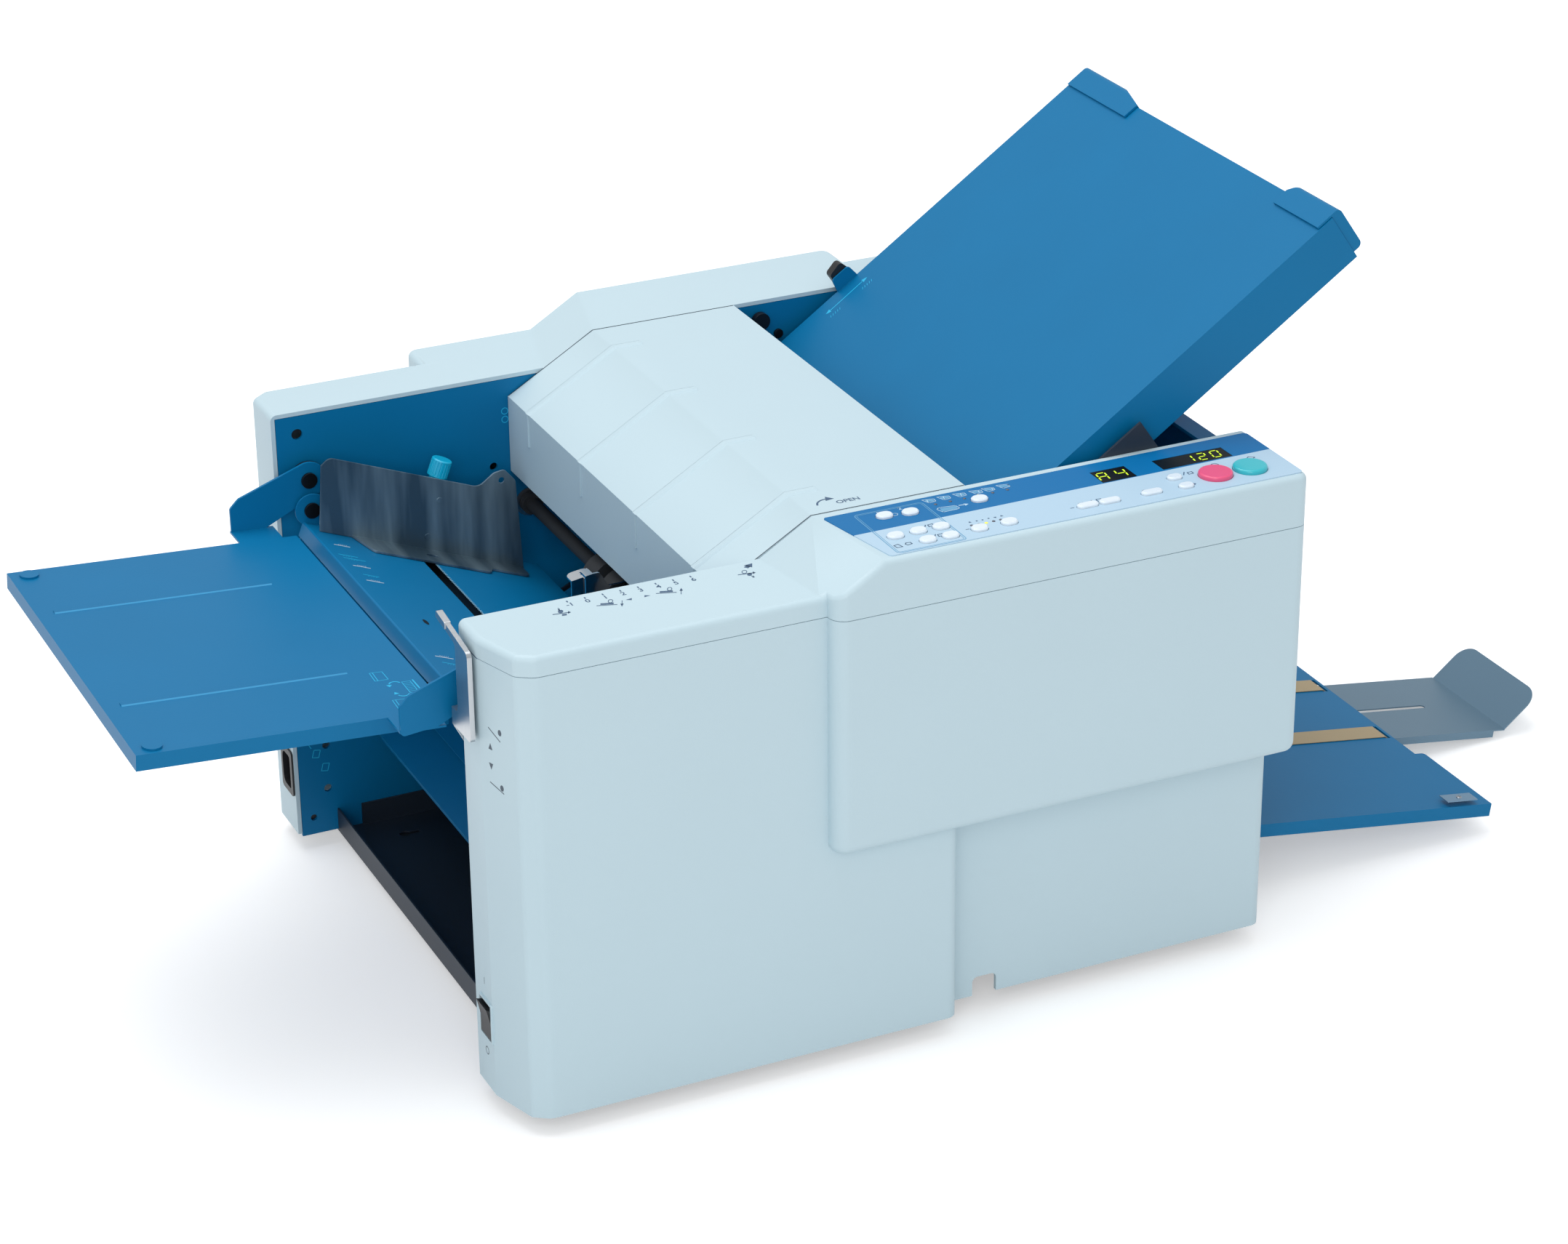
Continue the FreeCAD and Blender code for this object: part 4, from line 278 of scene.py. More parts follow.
# %% Give each node its finish, on a softened copy
BODY_OF = {}
for body, members in frame["record"]["behaviour"]["bodies"].items():
    for member in members:
        BODY_OF[member] = body
SLOT_OF = {part["node"]: part["material_slot"] for part in frame["record"]["subparts"]}
SHARP = math.radians(32)
NEARLY_FLAT = math.radians(0.6)
SAME_POINT = 1e-6          # metres


def softened(node, width_mm, segments=2):
    """A merged copy of a node's mesh with a small bevel on its sharp edges."""
    source = frame["nodes"][node]
    work = bmesh.new()
    work.from_mesh(source.data)
    bmesh.ops.remove_doubles(work, verts=work.verts, dist=SAME_POINT)
    bmesh.ops.dissolve_limit(work, angle_limit=NEARLY_FLAT, verts=work.verts, edges=work.edges)
    mesh = bpy.data.meshes.new(node + "_skin")
    work.to_mesh(mesh)
    work.free()
    piece = bpy.data.objects.new(node + "_skin", mesh)
    scene.collection.objects.link(piece)
    mesh.polygons.foreach_set("use_smooth", [True] * len(mesh.polygons))
    bevel = piece.modifiers.new("edge", "BEVEL")
    bevel.width = width_mm * MM
    bevel.segments = segments
    bevel.limit_method = "ANGLE"
    bevel.angle_limit = SHARP
    piece.modifiers.new("even shading", "WEIGHTED_NORMAL")
    mesh.materials.append(FINISHES[SLOT_OF[node]])
    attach(piece, BODY_OF[node])
    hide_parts(node)
    return piece


EDGE = {"rear_housing": 0.5, "front_housing": 0.5, "front_cap": 0.5, "top_cover": 0.5, "feed_deck": 0.3,
        "feed_tray": 0.3, "fold_plate_1": 0.3, "receiving_tray": 0.3, "rear_side_guide": 0.25,
        "front_side_guide": 0.25, "paper_stopper": 0.3, "plate_1_caps": 0.4, "rear_side_frame": 0.3,
        "front_side_frame": 0.3, "right_end_plate": 0.3, "delivery_chute": 0.3, "fold_plate_2": 0.25,
        "base_pan": 0.3, "skew_lever": 0.3, "separator_bracket": 0.2, "plate_clamp": 0.4, "mains_inlet": 0.3,
        "power_rocker": 0.4, "rear_guide_knob": 0.15, "front_guide_knob": 0.15, "stop_button": 0.2,
        "start_button": 0.2, "rubber_feet": 0.4, "feed_roller": 0.2, "fold_stop_1": 0.15,
        "fold_stop_2": 0.15, "pivot_screws": 0.2, "conveyor_belts": 0.15, "tie_rods": 0.3}
EDGE.update({key: 0.2 for key in frame["nodes"] if key.endswith(("_key", "_keys"))})
SKINS = {}
for node, solid in frame["nodes"].items():
    solid.data.materials.clear()
    solid.data.materials.append(FINISHES[SLOT_OF[node]])
for node, width in EDGE.items():
    SKINS[node] = softened(node, width)
print("softened:", len(SKINS))

# %% [markdown]
# ## Printed marks
# The marks on this machine are screen prints: flat shapes of ink, a few hundredths of a
# millimetre thick. Each print is drawn in millimetres on a flat sheet with strokes, dots,
# arcs and letters, and then one matrix carries the sheet to its surface.

# %% Drawing tools for prints
INK_RISE = 0.06        # how far a print stands off its surface


def surface(x, z, slope=0.0, rise=INK_RISE):
    """Matrix of a surface that runs across the machine: u goes along the slope, v along Y."""
    turn = math.radians(slope)
    along = Vector((math.cos(turn), 0, math.sin(turn)))
    normal = Vector((-math.sin(turn), 0, math.cos(turn)))
    place = Matrix((along * MM, Vector((0, MM, 0)), normal * MM)).transposed().to_4x4()
    return Matrix.Translation(at(x, 0, z) + normal * rise * MM) @ place


def upright(x, y, heading, rise=INK_RISE):
    """Matrix of an upright wall through (x, y): u goes along the heading in plan, v goes up."""
    turn = math.radians(heading)
    along = Vector((math.cos(turn), math.sin(turn), 0))
    normal = Vector((math.sin(turn), -math.cos(turn), 0))
    place = Matrix((along * MM, Vector((0, 0, MM)), normal * MM)).transposed().to_4x4()
    return Matrix.Translation(at(x, y, 0) + normal * rise * MM) @ place


def stroke(work, a, b, width):
    start, end = Vector((*a, 0)), Vector((*b, 0))
    run = end - start
    place = (Matrix.Translation((start + end) / 2) @ Matrix.Rotation(math.atan2(run.y, run.x), 4, "Z")
             @ Matrix.Diagonal((run.length, width, 1, 1)))
    bmesh.ops.create_grid(work, x_segments=1, y_segments=1, size=0.5, matrix=place)


def blob(work, centre, radius, segments=20, squash=1.0, turn=0.0):
    """A filled disc, or with few segments a diamond or a triangle that points along its turn."""
    place = (Matrix.Translation((*centre, 0)) @ Matrix.Diagonal((1, squash, 1, 1))
             @ Matrix.Rotation(math.radians(turn - 90), 4, "Z"))
    bmesh.ops.create_circle(work, cap_ends=True, segments=segments, radius=radius, matrix=place)


def path(work, points, width, closed=True):
    """Strokes from point to point, with a dot on each corner."""
    points = list(points)
    for a, b in zip(points, points[1:] + points[:1] if closed else points[1:]):
        stroke(work, a, b, width)
    for corner in points:
        blob(work, corner, width / 2, 8)


def arc(work, centre, radius, start, sweep, width, squash=1.0):
    """A curved stroke, spun from a short edge."""
    turn = math.radians(start)
    ends = [work.verts.new(((radius + side * width / 2) * math.cos(turn),
                            (radius + side * width / 2) * math.sin(turn), 0)) for side in (-1, 1)]
    edge = work.edges.new(ends)
    full = abs(sweep) == 360
    made = bmesh.ops.spin(work, geom=ends + [edge], cent=(0, 0, 0), axis=(0, 0, 1), dvec=(0, 0, 0),
                          angle=math.radians(sweep), steps=max(8, int(abs(sweep) / 12)), use_merge=full)
    seen = set(ends)
    for piece in made["geom_last"]:
        seen.update([piece] if isinstance(piece, bmesh.types.BMVert) else piece.verts)
    grown = set(seen)
    while seen:
        seen = {v for vert in seen for e in vert.link_edges for v in e.verts} - grown
        grown |= seen
    bmesh.ops.transform(work, matrix=Matrix.Translation((*centre, 0)) @ Matrix.Diagonal((1, squash, 1, 1)),
                        verts=list(grown))


def write(work, text, centre, height, turn=0.0):
    """Letters or numbers, drawn as a text curve and turned into faces."""
    letters = bpy.data.curves.new("letters", "FONT")
    letters.body = text
    letters.size = height * 1.4
    letters.offset = height * 0.025
    letters.align_x = "CENTER"
    letters.align_y = "CENTER"
    holder = bpy.data.objects.new("letters", letters)
    scene.collection.objects.link(holder)
    flat = bpy.data.meshes.new_from_object(holder.evaluated_get(bpy.context.evaluated_depsgraph_get()))
    flat.transform(Matrix.Translation((*centre, 0)) @ Matrix.Rotation(math.radians(turn), 4, "Z"))
    work.from_mesh(flat)
    bpy.data.objects.remove(holder)
    bpy.data.curves.remove(letters)
    bpy.data.meshes.remove(flat)


def printed(name, work, place, ink, body):
    """Carry a drawn sheet to its surface and let it move with that body."""
    bmesh.ops.transform(work, matrix=place, verts=work.verts)
    normal = (place.to_3x3() @ Vector((0, 0, 1))).normalized()
    work.normal_update()
    wrong = [face for face in work.faces if face.normal.dot(normal) < 0]
    bmesh.ops.reverse_faces(work, faces=wrong)
    mesh = bpy.data.meshes.new(name)
    work.to_mesh(mesh)
    work.free()
    mesh.materials.append(ink)
    piece = bpy.data.objects.new(name, mesh)
    scene.collection.objects.link(piece)
    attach(piece, body)
    return piece


INK = finish("blue-grey ink", srgb(64, 92, 122), 0.5)
PALE_INK = finish("pale ink", srgb(178, 210, 232), 0.5)
CYAN_INK = finish("cyan ink", srgb(22, 176, 222), 0.5)
SHEET_INK = finish("middle blue ink", srgb(96, 158, 196), 0.5)
WHITE_INK = finish("white ink", srgb(214, 226, 236), 0.5)
DARK_INK = finish("dark ink", srgb(70, 84, 98), 0.5)
print("inks:", 6)

# %% [markdown]
# ### The control panel
# The dark strip carries the fold pictures and their lamps; the pale field carries the marks
# of the keys. The pictures are little sheets of paper, drawn as outlines.

# %% Marks on the dark strip
strip, sheets = bmesh.new(), bmesh.new()
FOLD_PICTURES = ((305.1, -195.2), (315.9, -195.2), (327.2, -195.4), (338.8, -196.0), (347.8, -195.8),
                 (358.9, -195.4))
for number, (x, y) in enumerate(FOLD_PICTURES):
    path(strip, ((x - 3.8, y + 2.9), (x + 4.2, y + 1.4), (x + 3.8, y - 2.6), (x - 1.4, y - 3.2)), 0.5)
    stroke(sheets, (x - 2.2, y + 0.6), (x + 3.2, y - 0.8), 3.2)
    stroke(strip, (x - 1.6 + number, y - 2.2), (x - 0.6 + number, y + 1.8), 0.5)
PAPER = ((303.3, -210.1), (305.6, -207.9), (316.8, -209.5), (317.8, -213.6), (316.3, -215.1), (305.4, -215.4))
path(strip, PAPER, 0.6)
stroke(sheets, (305.4, -211.8), (316.6, -212.4), 5.0)
stroke(strip, (318.8, -210.4), (323.0, -210.8), 1.0)
blob(strip, (323.8, -210.9), 2.0, 3)
write(strip, "1", (266.7, -198.3), 3.6)
write(strip, "2", (282.6, -198.2), 3.6)
path(strip, ((272.6, -206.6), (276.8, -206.8), (278.0, -204.6), (276.4, -203.2), (272.4, -203.4)), 0.5)
printed("strip_sheets", sheets, surface(0, PANEL_TOP, rise=INK_RISE / 2), SHEET_INK, "frame")
printed("strip_prints", strip, surface(0, PANEL_TOP), PALE_INK, "frame")
print("fold pictures:", len(FOLD_PICTURES))

# %% [markdown]
# A double line with round corners gathers the keys that set the paper's format. It runs
# over both colours of the film, in a blue between the two.

# %% The double frame
border = bmesh.new()
BORDER = (250.9, 299.8, -259.6, -195.2)
for inset, width in ((0.0, 0.6), (1.3, 0.4)):
    left, right_x, low, high = BORDER[0] + inset, BORDER[1] - inset, BORDER[2] + inset, BORDER[3] - inset
    round_r = 3.0 - inset
    inner_left, inner_right = left + round_r, right_x - round_r
    inner_low, inner_high = low + round_r, high - round_r
    stroke(border, (inner_left, low), (inner_right, low), width)
    stroke(border, (right_x, inner_low), (right_x, inner_high), width)
    stroke(border, (inner_right, high), (inner_left, high), width)
    stroke(border, (left, inner_high), (left, inner_low), width)
    arc(border, (inner_left, inner_low), round_r, 180, 90, width)
    arc(border, (inner_right, inner_low), round_r, 270, 90, width)
    arc(border, (inner_right, inner_high), round_r, 0, 90, width)
    arc(border, (inner_left, inner_high), round_r, 90, 90, width)
printed("format_border", border, surface(0, PANEL_TOP), SHEET_INK, "frame")
print("border:", BORDER)

# %% [markdown]
# Each key of the pale field has a sign beside it: a sheet, a minus or plus, a letter, an arrow.
# They are a few strokes each, so lists of places and the drawing tools are all they need.

# %% Marks on the pale field
field = bmesh.new()
path(field, ((254.2, -251.8), (258.0, -251.8), (256.8, -247.2), (253.6, -248.2)), 0.7)
path(field, ((261.2, -249.2), (262.2, -247.6), (265.2, -248.0), (265.4, -250.4), (262.0, -251.0)), 0.7)
for x, y in ((284.5, -230.4), (283.6, -246.2), (474.4, -229.4), (397.9, -242.8)):
    stroke(field, (x - 1.4, y - 2.2), (x + 1.4, y + 2.2), 0.7)
for x, y in ((280.6, -230.6), (288.6, -230.2), (279.8, -246.0), (287.4, -246.4), (390.9, -243.0),
             (478.6, -230.3)):
    path(field, ((x - 1.8, y - 1.6), (x + 1.6, y - 1.4), (x + 1.9, y + 1.6), (x - 1.5, y + 1.3)), 0.7)
for x, y, heading in ((313.1, -237.0, 90), (331.1, -237.3, -90), (335.8, -237.1, 90)):
    blob(field, (x, y), 1.3, 3, turn=heading)
for x, y in ((318.0, -237.1), (322.1, -237.3), (326.6, -236.9)):
    blob(field, (x, y), 0.7)
for x, y, plus in ((306.8, -246.2, False), (338.2, -243.2, True), (382.3, -246.1, False),
                   (413.8, -243.0, True)):
    stroke(field, (x - 1.4, y), (x + 1.4, y), 0.7)
    if plus:
        stroke(field, (x, y - 1.4), (x, y + 1.4), 0.7)
path(field, ((402.4, -244.2), (405.8, -244.2), (405.8, -241.0), (402.4, -241.0)), 0.7)
write(field, "C", (437.2, -242.6), 2.8)
write(field, "T", (469.3, -228.4), 2.8)
blob(field, (471.8, -247.0), 1.6, 4)
arc(field, (499.6, -226.4), 2.6, 0, 360, 0.7)
blob(field, (499.6, -226.4), 1.3, 3, turn=90)
path(field, ((523.0, -226.6), (526.4, -224.0), (529.8, -226.4), (526.4, -229.0)), 0.7)
printed("field_prints", field, surface(0, PANEL_TOP), INK, "frame")
print("field prints laid")

# %% [markdown]
# Small lamps show the chosen fold and the count. Each is a low lens of coloured plastic; the
# lit ones glow.

# %% Panel lamps
LAMP_OFF = finish("unlit lamp", srgb(74, 78, 92), 0.3, coat=0.3)
LAMP_ON = finish("lit lamp", srgb(236, 226, 70), 0.25, coat=0.5)
LAMP_ON.node_tree.nodes["Principled BSDF"].inputs["Emission Color"].default_value = (*srgb(236, 226, 60), 1)
LAMP_ON.node_tree.nodes["Principled BSDF"].inputs["Emission Strength"].default_value = 0.5
LAMPS = {"fold_lamps": ((306.3, -202.3), (317.0, -202.3), (327.2, -202.3), (337.7, -201.7), (347.9, -202.0),
                        (358.7, -202.0)),
         "count_lamps": ((311.8, -242.1), (317.0, -242.4), (322.0, -242.7), (327.4, -242.4), (332.6, -242.3))}
LIT = {"fold_lamps": 3, "count_lamps": 2}
LAMP_R = 1.15


def lens_row(name, places, material):
    """A row of low round lenses on the panel."""
    work = bmesh.new()
    for x, y in places:
        lens = bmesh.ops.create_uvsphere(work, u_segments=20, v_segments=10, radius=LAMP_R)["verts"]
        bmesh.ops.scale(work, vec=(1, 1, 0.45), verts=lens)
        bmesh.ops.translate(work, vec=(x, y, 0), verts=lens)
    for face in work.faces:
        face.smooth = True
    return printed(name, work, surface(0, PANEL_TOP), material, "frame")


for row, places in LAMPS.items():
    lens_row(row, [place for number, place in enumerate(places) if number != LIT[row]], LAMP_OFF)
    lens_row(row + "_lit", [places[LIT[row]]], LAMP_ON)
print("lamps:", sum(len(places) for places in LAMPS.values()))

# %% [markdown]
# The two displays show slanted digits of seven bars each. A table tells which bars of the
# seven are lit for each sign.

# %% Display digits
BARS = {"A": "abcefg", "4": "bcfg", "1": "bc", "2": "abdeg", "0": "abcdef"}
GLOW = finish("lit bars", srgb(186, 214, 40), 0.4)
GLOW.node_tree.nodes["Principled BSDF"].inputs["Emission Color"].default_value = (*srgb(190, 220, 40), 1)
GLOW.node_tree.nodes["Principled BSDF"].inputs["Emission Strength"].default_value = 0.7
DIGIT_SLANT = 0.14


def digit(work, sign, x, y, width, height):
    """One sign of seven bars, leaning to the right."""
    w, h = width / 2, height / 2
    ends = {"a": ((-w, h), (w, h)), "b": ((w, h), (w, 0)), "c": ((w, 0), (w, -h)), "d": ((-w, -h), (w, -h)),
            "e": ((-w, 0), (-w, -h)), "f": ((-w, h), (-w, 0)), "g": ((-w, 0), (w, 0))}
    for bar in BARS[sign]:
        a, b = (Vector((x + u + DIGIT_SLANT * v, y + v)) for u, v in ends[bar])
        inset = (b - a).normalized() * 0.75
        stroke(work, a + inset, b - inset, 1.0)


digits = bmesh.new()
for sign, x in (("A", 424.6), ("4", 438.2)):
    digit(digits, sign, x, -210.4, 6.4, 11.2)
for sign, x in (("1", 489.5), ("2", 499.5), ("0", 509.5)):
    digit(digits, sign, x, -210.0, 5.6, 10.0)
printed("display_digits", digits, surface(0, PANEL_TOP), GLOW, "frame")
print("digits:", 5)

# %% [markdown]
# ### Marks beside the feed tray
# A number scale for the skew of the sheet runs along the low cover. Two triangles beside it
# point the two ways in which the sheet can be turned.

# %% Number scale on the low cover
scale = bmesh.new()
SCALE_START, SCALE_STEP, SCALE_Y = 55.5, 12.05, -193.0
for number in range(-1, 7):
    x = SCALE_START + SCALE_STEP * (number + 1)
    write(scale, str(number), (x, SCALE_Y), 4.6)
    stroke(scale, (x, SCALE_Y + 3.6), (x, SCALE_Y + 6.0), 1.0)
for x, heading in ((92.0, 165), (103.4, -15)):
    blob(scale, (x, -202.4), 2.7, 3, squash=0.6, turn=heading)
printed("scale_prints", scale, surface(0, CAP_LOW), INK, "frame")
print("scale step:", SCALE_STEP)

# %% [markdown]
# The little pictures beside the scale are drawn for someone who stands at the front
# corner, so they lean: their own level line and upright line are two slanted directions on
# the cover.

# %% Leaning pictures on the low cover
LEAN_LEVEL, LEAN_UP = Vector((0.62, -0.20)), Vector((0.62, 1.40))


def leaning(x, y):
    """Matrix for a picture whose level and upright lines are slanted on the low cover."""
    lean = Matrix(((LEAN_LEVEL.x, LEAN_UP.x, 0, x), (LEAN_LEVEL.y, LEAN_UP.y, 0, y),
                   (0, 0, 1, 0), (0, 0, 0, 1)))
    return surface(0, CAP_LOW) @ lean


def arrow(work, tail, head, width, size):
    """A stroke with a triangle at its head."""
    start, end = Vector(tail), Vector(head)
    stroke(work, start, end, width)
    blob(work, end, size, 3, turn=math.degrees(math.atan2((end - start).y, (end - start).x)))


for name, x, y, rises in (("stack_low_picture", 76.2, -203.4, False),
                          ("stack_high_picture", 116.6, -203.2, True)):
    picture = bmesh.new()
    stroke(picture, (-10.0, -0.4), (10.0, -0.4), 0.6)
    stroke(picture, (-6.4, 0.9), (6.4, 0.9), 1.5)
    arc(picture, (3.2, 3.2), 2.2, 0, 360, 0.8, squash=0.7)
    tail, head = ((14.4, -2.6), (14.4, 1.8)) if rises else ((14.4, 3.2), (14.4, -0.8))
    arrow(picture, tail, head, 0.7, 1.9)
    printed(name, picture, leaning(x, y), INK, "frame")
for name, x, y, filled in (("press_picture", 45.6, -202.6, True), ("gap_picture", 173.2, -199.8, False)):
    picture = bmesh.new()
    stroke(picture, (-8.0, -0.6), (8.0, 0.6), 0.7)
    if filled:
        blob(picture, (-0.6, 1.9), 2.6, squash=0.6)
        arrow(picture, (-3.4, 5.4), (-2.2, 3.6), 0.7, 1.4)
        stroke(picture, (1.0, -1.6), (5.6, -1.3), 1.6)
    else:
        arc(picture, (-1.6, 2.0), 2.4, 0, 360, 0.8, squash=0.65)
        blob(picture, (3.4, -0.8), 2.4, squash=0.6)
        arrow(picture, (5.0, -2.4), (7.2, -3.4), 0.7, 1.4)
    blob(picture, (7.6, 0.6), 1.9, 3, squash=0.8)
    printed(name, picture, leaning(x, y), INK, "frame")
block_arrow = bmesh.new()
stroke(block_arrow, (176.9, -191.5), (179.6, -189.5), 3.2)
blob(block_arrow, (180.4, -189.1), 3.6, 3, turn=35)
printed("open_side_arrow", block_arrow, surface(0, CAP_LOW), INK, "frame")
print("leaning pictures:", 4)

# %% [markdown]
# The top cover is hinged at its right edge. A bent arrow and the word OPEN tell where to lift
# it. The print rides on the cover, so it swings with it.

# %% The OPEN mark on the top cover
opening = bmesh.new()
write(opening, "OPEN", (259.4, -170.2), 4.6)
arc(opening, (246.4, -170.6), 8.4, 85, 85, 1.3)
blob(opening, (248.9, -162.4), 3.8, 3, turn=-20)
printed("open_mark", opening, surface(0, CAP_HIGH), INK, "cover")
print("cover mark laid")

# %% [markdown]
# On the slanted front corner stand marks for the skew lever: a line under a sheet's edge,
# with triangles that point up and down. The switch has its two signs, a stroke and a ring.

# %% Marks on the slanted corner and at the switch
CORNER_START, CORNER_END = Vector((-15.0, -212.0)), Vector((-4.0, -247.0))
corner_run = CORNER_END - CORNER_START
corner_heading = math.degrees(math.atan2(corner_run.y, corner_run.x))
corner = bmesh.new()
for line_start, line_end, dot in (((8.8, 271.0), (20.4, 264.7), (20.1, 270.9)),
                                  ((8.4, 232.7), (22.1, 229.0), (20.1, 232.4))):
    stroke(corner, line_start, line_end, 0.7)
    blob(corner, dot, 1.7, squash=1.25)
for z, heading in ((257.4, 90), (244.8, -90)):
    blob(corner, (10.2, z), 2.3, 3, squash=1.3, turn=heading)
printed("corner_marks", corner, upright(*CORNER_START, corner_heading), DARK_INK, "frame")
switch = bmesh.new()
stroke(switch, (0, 76.8), (0, 81.8), 0.7)
arc(switch, (0, 27.1), 2.6, 0, 360, 0.7)
printed("switch_marks", switch, upright(-15.0, -199.2, -90), DARK_INK, "frame")
print("corner heading:", round(corner_heading, 1))

# %% [markdown]
# ### Marks on the blue steel
# Size lines stand on both sides of the feed deck, with rows of short dashes for their small
# numbers. A fine rack runs along the cross slot, and a black strip of painted shade closes the channel below.
# The slit is a flat black oval, painted shade in its opening.

# %% Deck lines, slit, rack and painted channel shade
DECK_AT, DECK_SLOPE = (0.0, 253.0), -21.5
deck_lines = bmesh.new()
for y, start, end in ((126.4, 8.0, 20.5), (87.8, 8.2, 21.7), (61.0, 8.3, 21.7), (-70.0, 8.8, 22.4),
                      (-97.2, 9.1, 22.4), (-126.4, 8.0, 20.5)):
    stroke(deck_lines, (start, y), (end, y), 0.8)
    for letter in range(5):
        stroke(deck_lines, (start + 4 + 1.5 * letter, y + 1.4), (start + 4.8 + 1.5 * letter, y + 2.6), 0.3)
deck_cyan = bmesh.new()
for y, start, end in ((106.8, 4.0, 19.0), (101.2, 6.0, 23.0), (72.0, 10.0, 22.1), (-80.0, 10.1, 22.2),
                      (-114.5, 4.0, 16.0)):
    stroke(deck_cyan, (start, y), (end, y), 0.8)
    for letter in range(4):
        stroke(deck_cyan, (start + 3 + 2 * letter, y - 2.4), (start + 4.2 + 2 * letter, y - 1.2), 0.35)
# The slit is drawn as a flat black oval: painted shade where the deck opens.
slit = bmesh.new()
blob(slit, (27.6, -5.2), 1.8, squash=2.6)
printed("deck_size_lines", deck_lines, surface(*DECK_AT, DECK_SLOPE), WHITE_INK, "deck")
printed("deck_sheet_lines", deck_cyan, surface(*DECK_AT, DECK_SLOPE), CYAN_INK, "deck")
printed("deck_slit", slit, surface(*DECK_AT, DECK_SLOPE), FINISHES["black_steel"], "deck")
RACK_START, RACK_END = 86.0, 88.1
RACK_HALF, RACK_PITCH, RACK_RISE = 150.0, 2.6, -0.3
RACK_FINISH = finish("rack teeth", srgb(150, 200, 225), 0.5)
rack = bmesh.new()
for tooth in range(int(2 * RACK_HALF / RACK_PITCH)):
    y = RACK_PITCH * tooth - RACK_HALF
    stroke(rack, (RACK_START, y), (RACK_END, y), 1.1)
printed("deck_rack", rack, surface(*DECK_AT, DECK_SLOPE, rise=RACK_RISE), RACK_FINISH, "deck")
# A black strip on the channel's far wall is painted shade in the channel.
CHANNEL_WALL, CHANNEL_MIDDLE, CHANNEL_DEPTH = 91.4, -7.2, 11.0
channel_shade = bmesh.new()
stroke(channel_shade, (CHANNEL_MIDDLE, -RACK_HALF), (CHANNEL_MIDDLE, RACK_HALF), CHANNEL_DEPTH)
facing_back = Matrix.Translation((CHANNEL_WALL, 0, 0)) @ Matrix.Rotation(math.radians(-90), 4, "Y")
printed("channel_painted_shade", channel_shade, surface(*DECK_AT, DECK_SLOPE, rise=0) @ facing_back,
        FINISHES["black_plastic"], "deck")
print("rack teeth:", int(2 * RACK_HALF / RACK_PITCH))

# %% [markdown]
# The front corner of the feed tray carries a picture of two sheets that pass round the
# rollers. The upper plate has a double arrow, because it slides out along its rails. Both are
# drawn in the same cyan ink, each on the slope of its own sheet.

# %% Pictures on the feed tray and the sliding plate
TRAY_AT, TRAY_SLOPE = (-12.0, 251.5), -3.55
folding = bmesh.new()
for y in (-88.8, -132.2):
    path(folding, ((-29.6, y + 6.4), (-21.2, y + 6.0), (-21.2, y - 6.2), (-30.2, y - 6.4)), 0.5)
    stroke(folding, (-27.6, y + 6.2), (-28.2, y - 6.2), 0.5)
arc(folding, (-19.6, -103.6), 3.9, 20, 140, 1.0)
blob(folding, (-24.0, -104.6), 2.2, 3, turn=-100)
arc(folding, (-19.6, -118.2), 3.9, -20, -140, 1.0)
blob(folding, (-23.8, -116.8), 2.2, 3, turn=100)
path(folding, ((-14.6, -101.6), (-8.8, -101.8), (-9.2, -118.6), (-14.8, -118.8)), 0.5)
for row in range(6):
    stroke(folding, (-14.4, -104.4 - 2.4 * row), (-9.2, -104.2 - 2.4 * row), 0.4)
stroke(folding, (-6.8, -100.4), (-6.8, -120.8), 1.0)
blob(folding, (-12.1, -133.8), 2.7, 4)
printed("tray_pictures", folding, surface(*TRAY_AT, TRAY_SLOPE), CYAN_INK, "tray")

PLATE_AT, PLATE_SLOPE = (255.277, 240.358), 34.5
sliding = bmesh.new()
stroke(sliding, (182.0, 160.2), (213.5, 160.6), 0.8)
blob(sliding, (180.4, 160.2), 3.0, 3, squash=0.8, turn=180)
blob(sliding, (215.4, 160.7), 3.0, 3, squash=0.8)
for start in (178.0, 209.0):
    for letter in range(5):
        stroke(sliding, (start + 2.2 * letter, 152.2), (start + 1.2 + 2.2 * letter, 154.6), 0.4)
printed("plate_arrow", sliding, surface(*PLATE_AT, PLATE_SLOPE), CYAN_INK, "upper_plate")
print("tray and plate marks laid")

# %% [markdown]
# The inner face of the rear frame shows small outlines of sheets below the tray, and two
# rings where the cover's edge passes. An upright matrix carries them.

# %% Pictures on the rear frame
FRAME_FACE = 182.5
rear_marks = bmesh.new()
for x, z in ((2.4, 62.0), (8.6, 50.0)):
    path(rear_marks, ((x - 3.2, z - 2.6), (x + 1.6, z - 3.4), (x + 3.2, z + 2.4), (x - 1.6, z + 3.2)), 0.6)
stroke(rear_marks, (-3.6, 71.4), (-1.2, 66.8), 0.6)
for z in (301.4, 295.0):
    arc(rear_marks, (158.4, z), 2.4, 0, 360, 0.6)
printed("rear_frame_marks", rear_marks, upright(0, FRAME_FACE, 0), CYAN_INK, "frame")
print("rear frame marks laid")

# %% [markdown]
# ### Soft edges and seams
# Pressed ridges and moulded ribs never rise straight up: their sides slope and catch the
# light. A sloping strip on each side, between a low line on the sheet and a high line on the
# crest, gives them that. On the feed tray the strips are a lighter blue than the tray: a painted highlight.

# %% Sloping flanks for the ribs and ridges
RIB_Y, RIB_HALF, RIB_FLANK = (-144.0, -48.0, 48.0, 144.0), 2.0, 1.8
RIB_LOW = ((161.0, 312.6), (227.4, 351.5), (248.5, 351.5))
RIB_CREST = ((160.0, 313.2), (227.1, 352.5), (248.5, 352.5))
RIDGE_Y, RIDGE_HALF, RIDGE_FLANK = (-76.0, 76.0), 1.5, 1.2
RIDGE_LOW = ((-193.0, 0.0), (-43.0, 0.0))
RIDGE_CREST = ((-193.0, 0.6), (-43.0, 0.6))


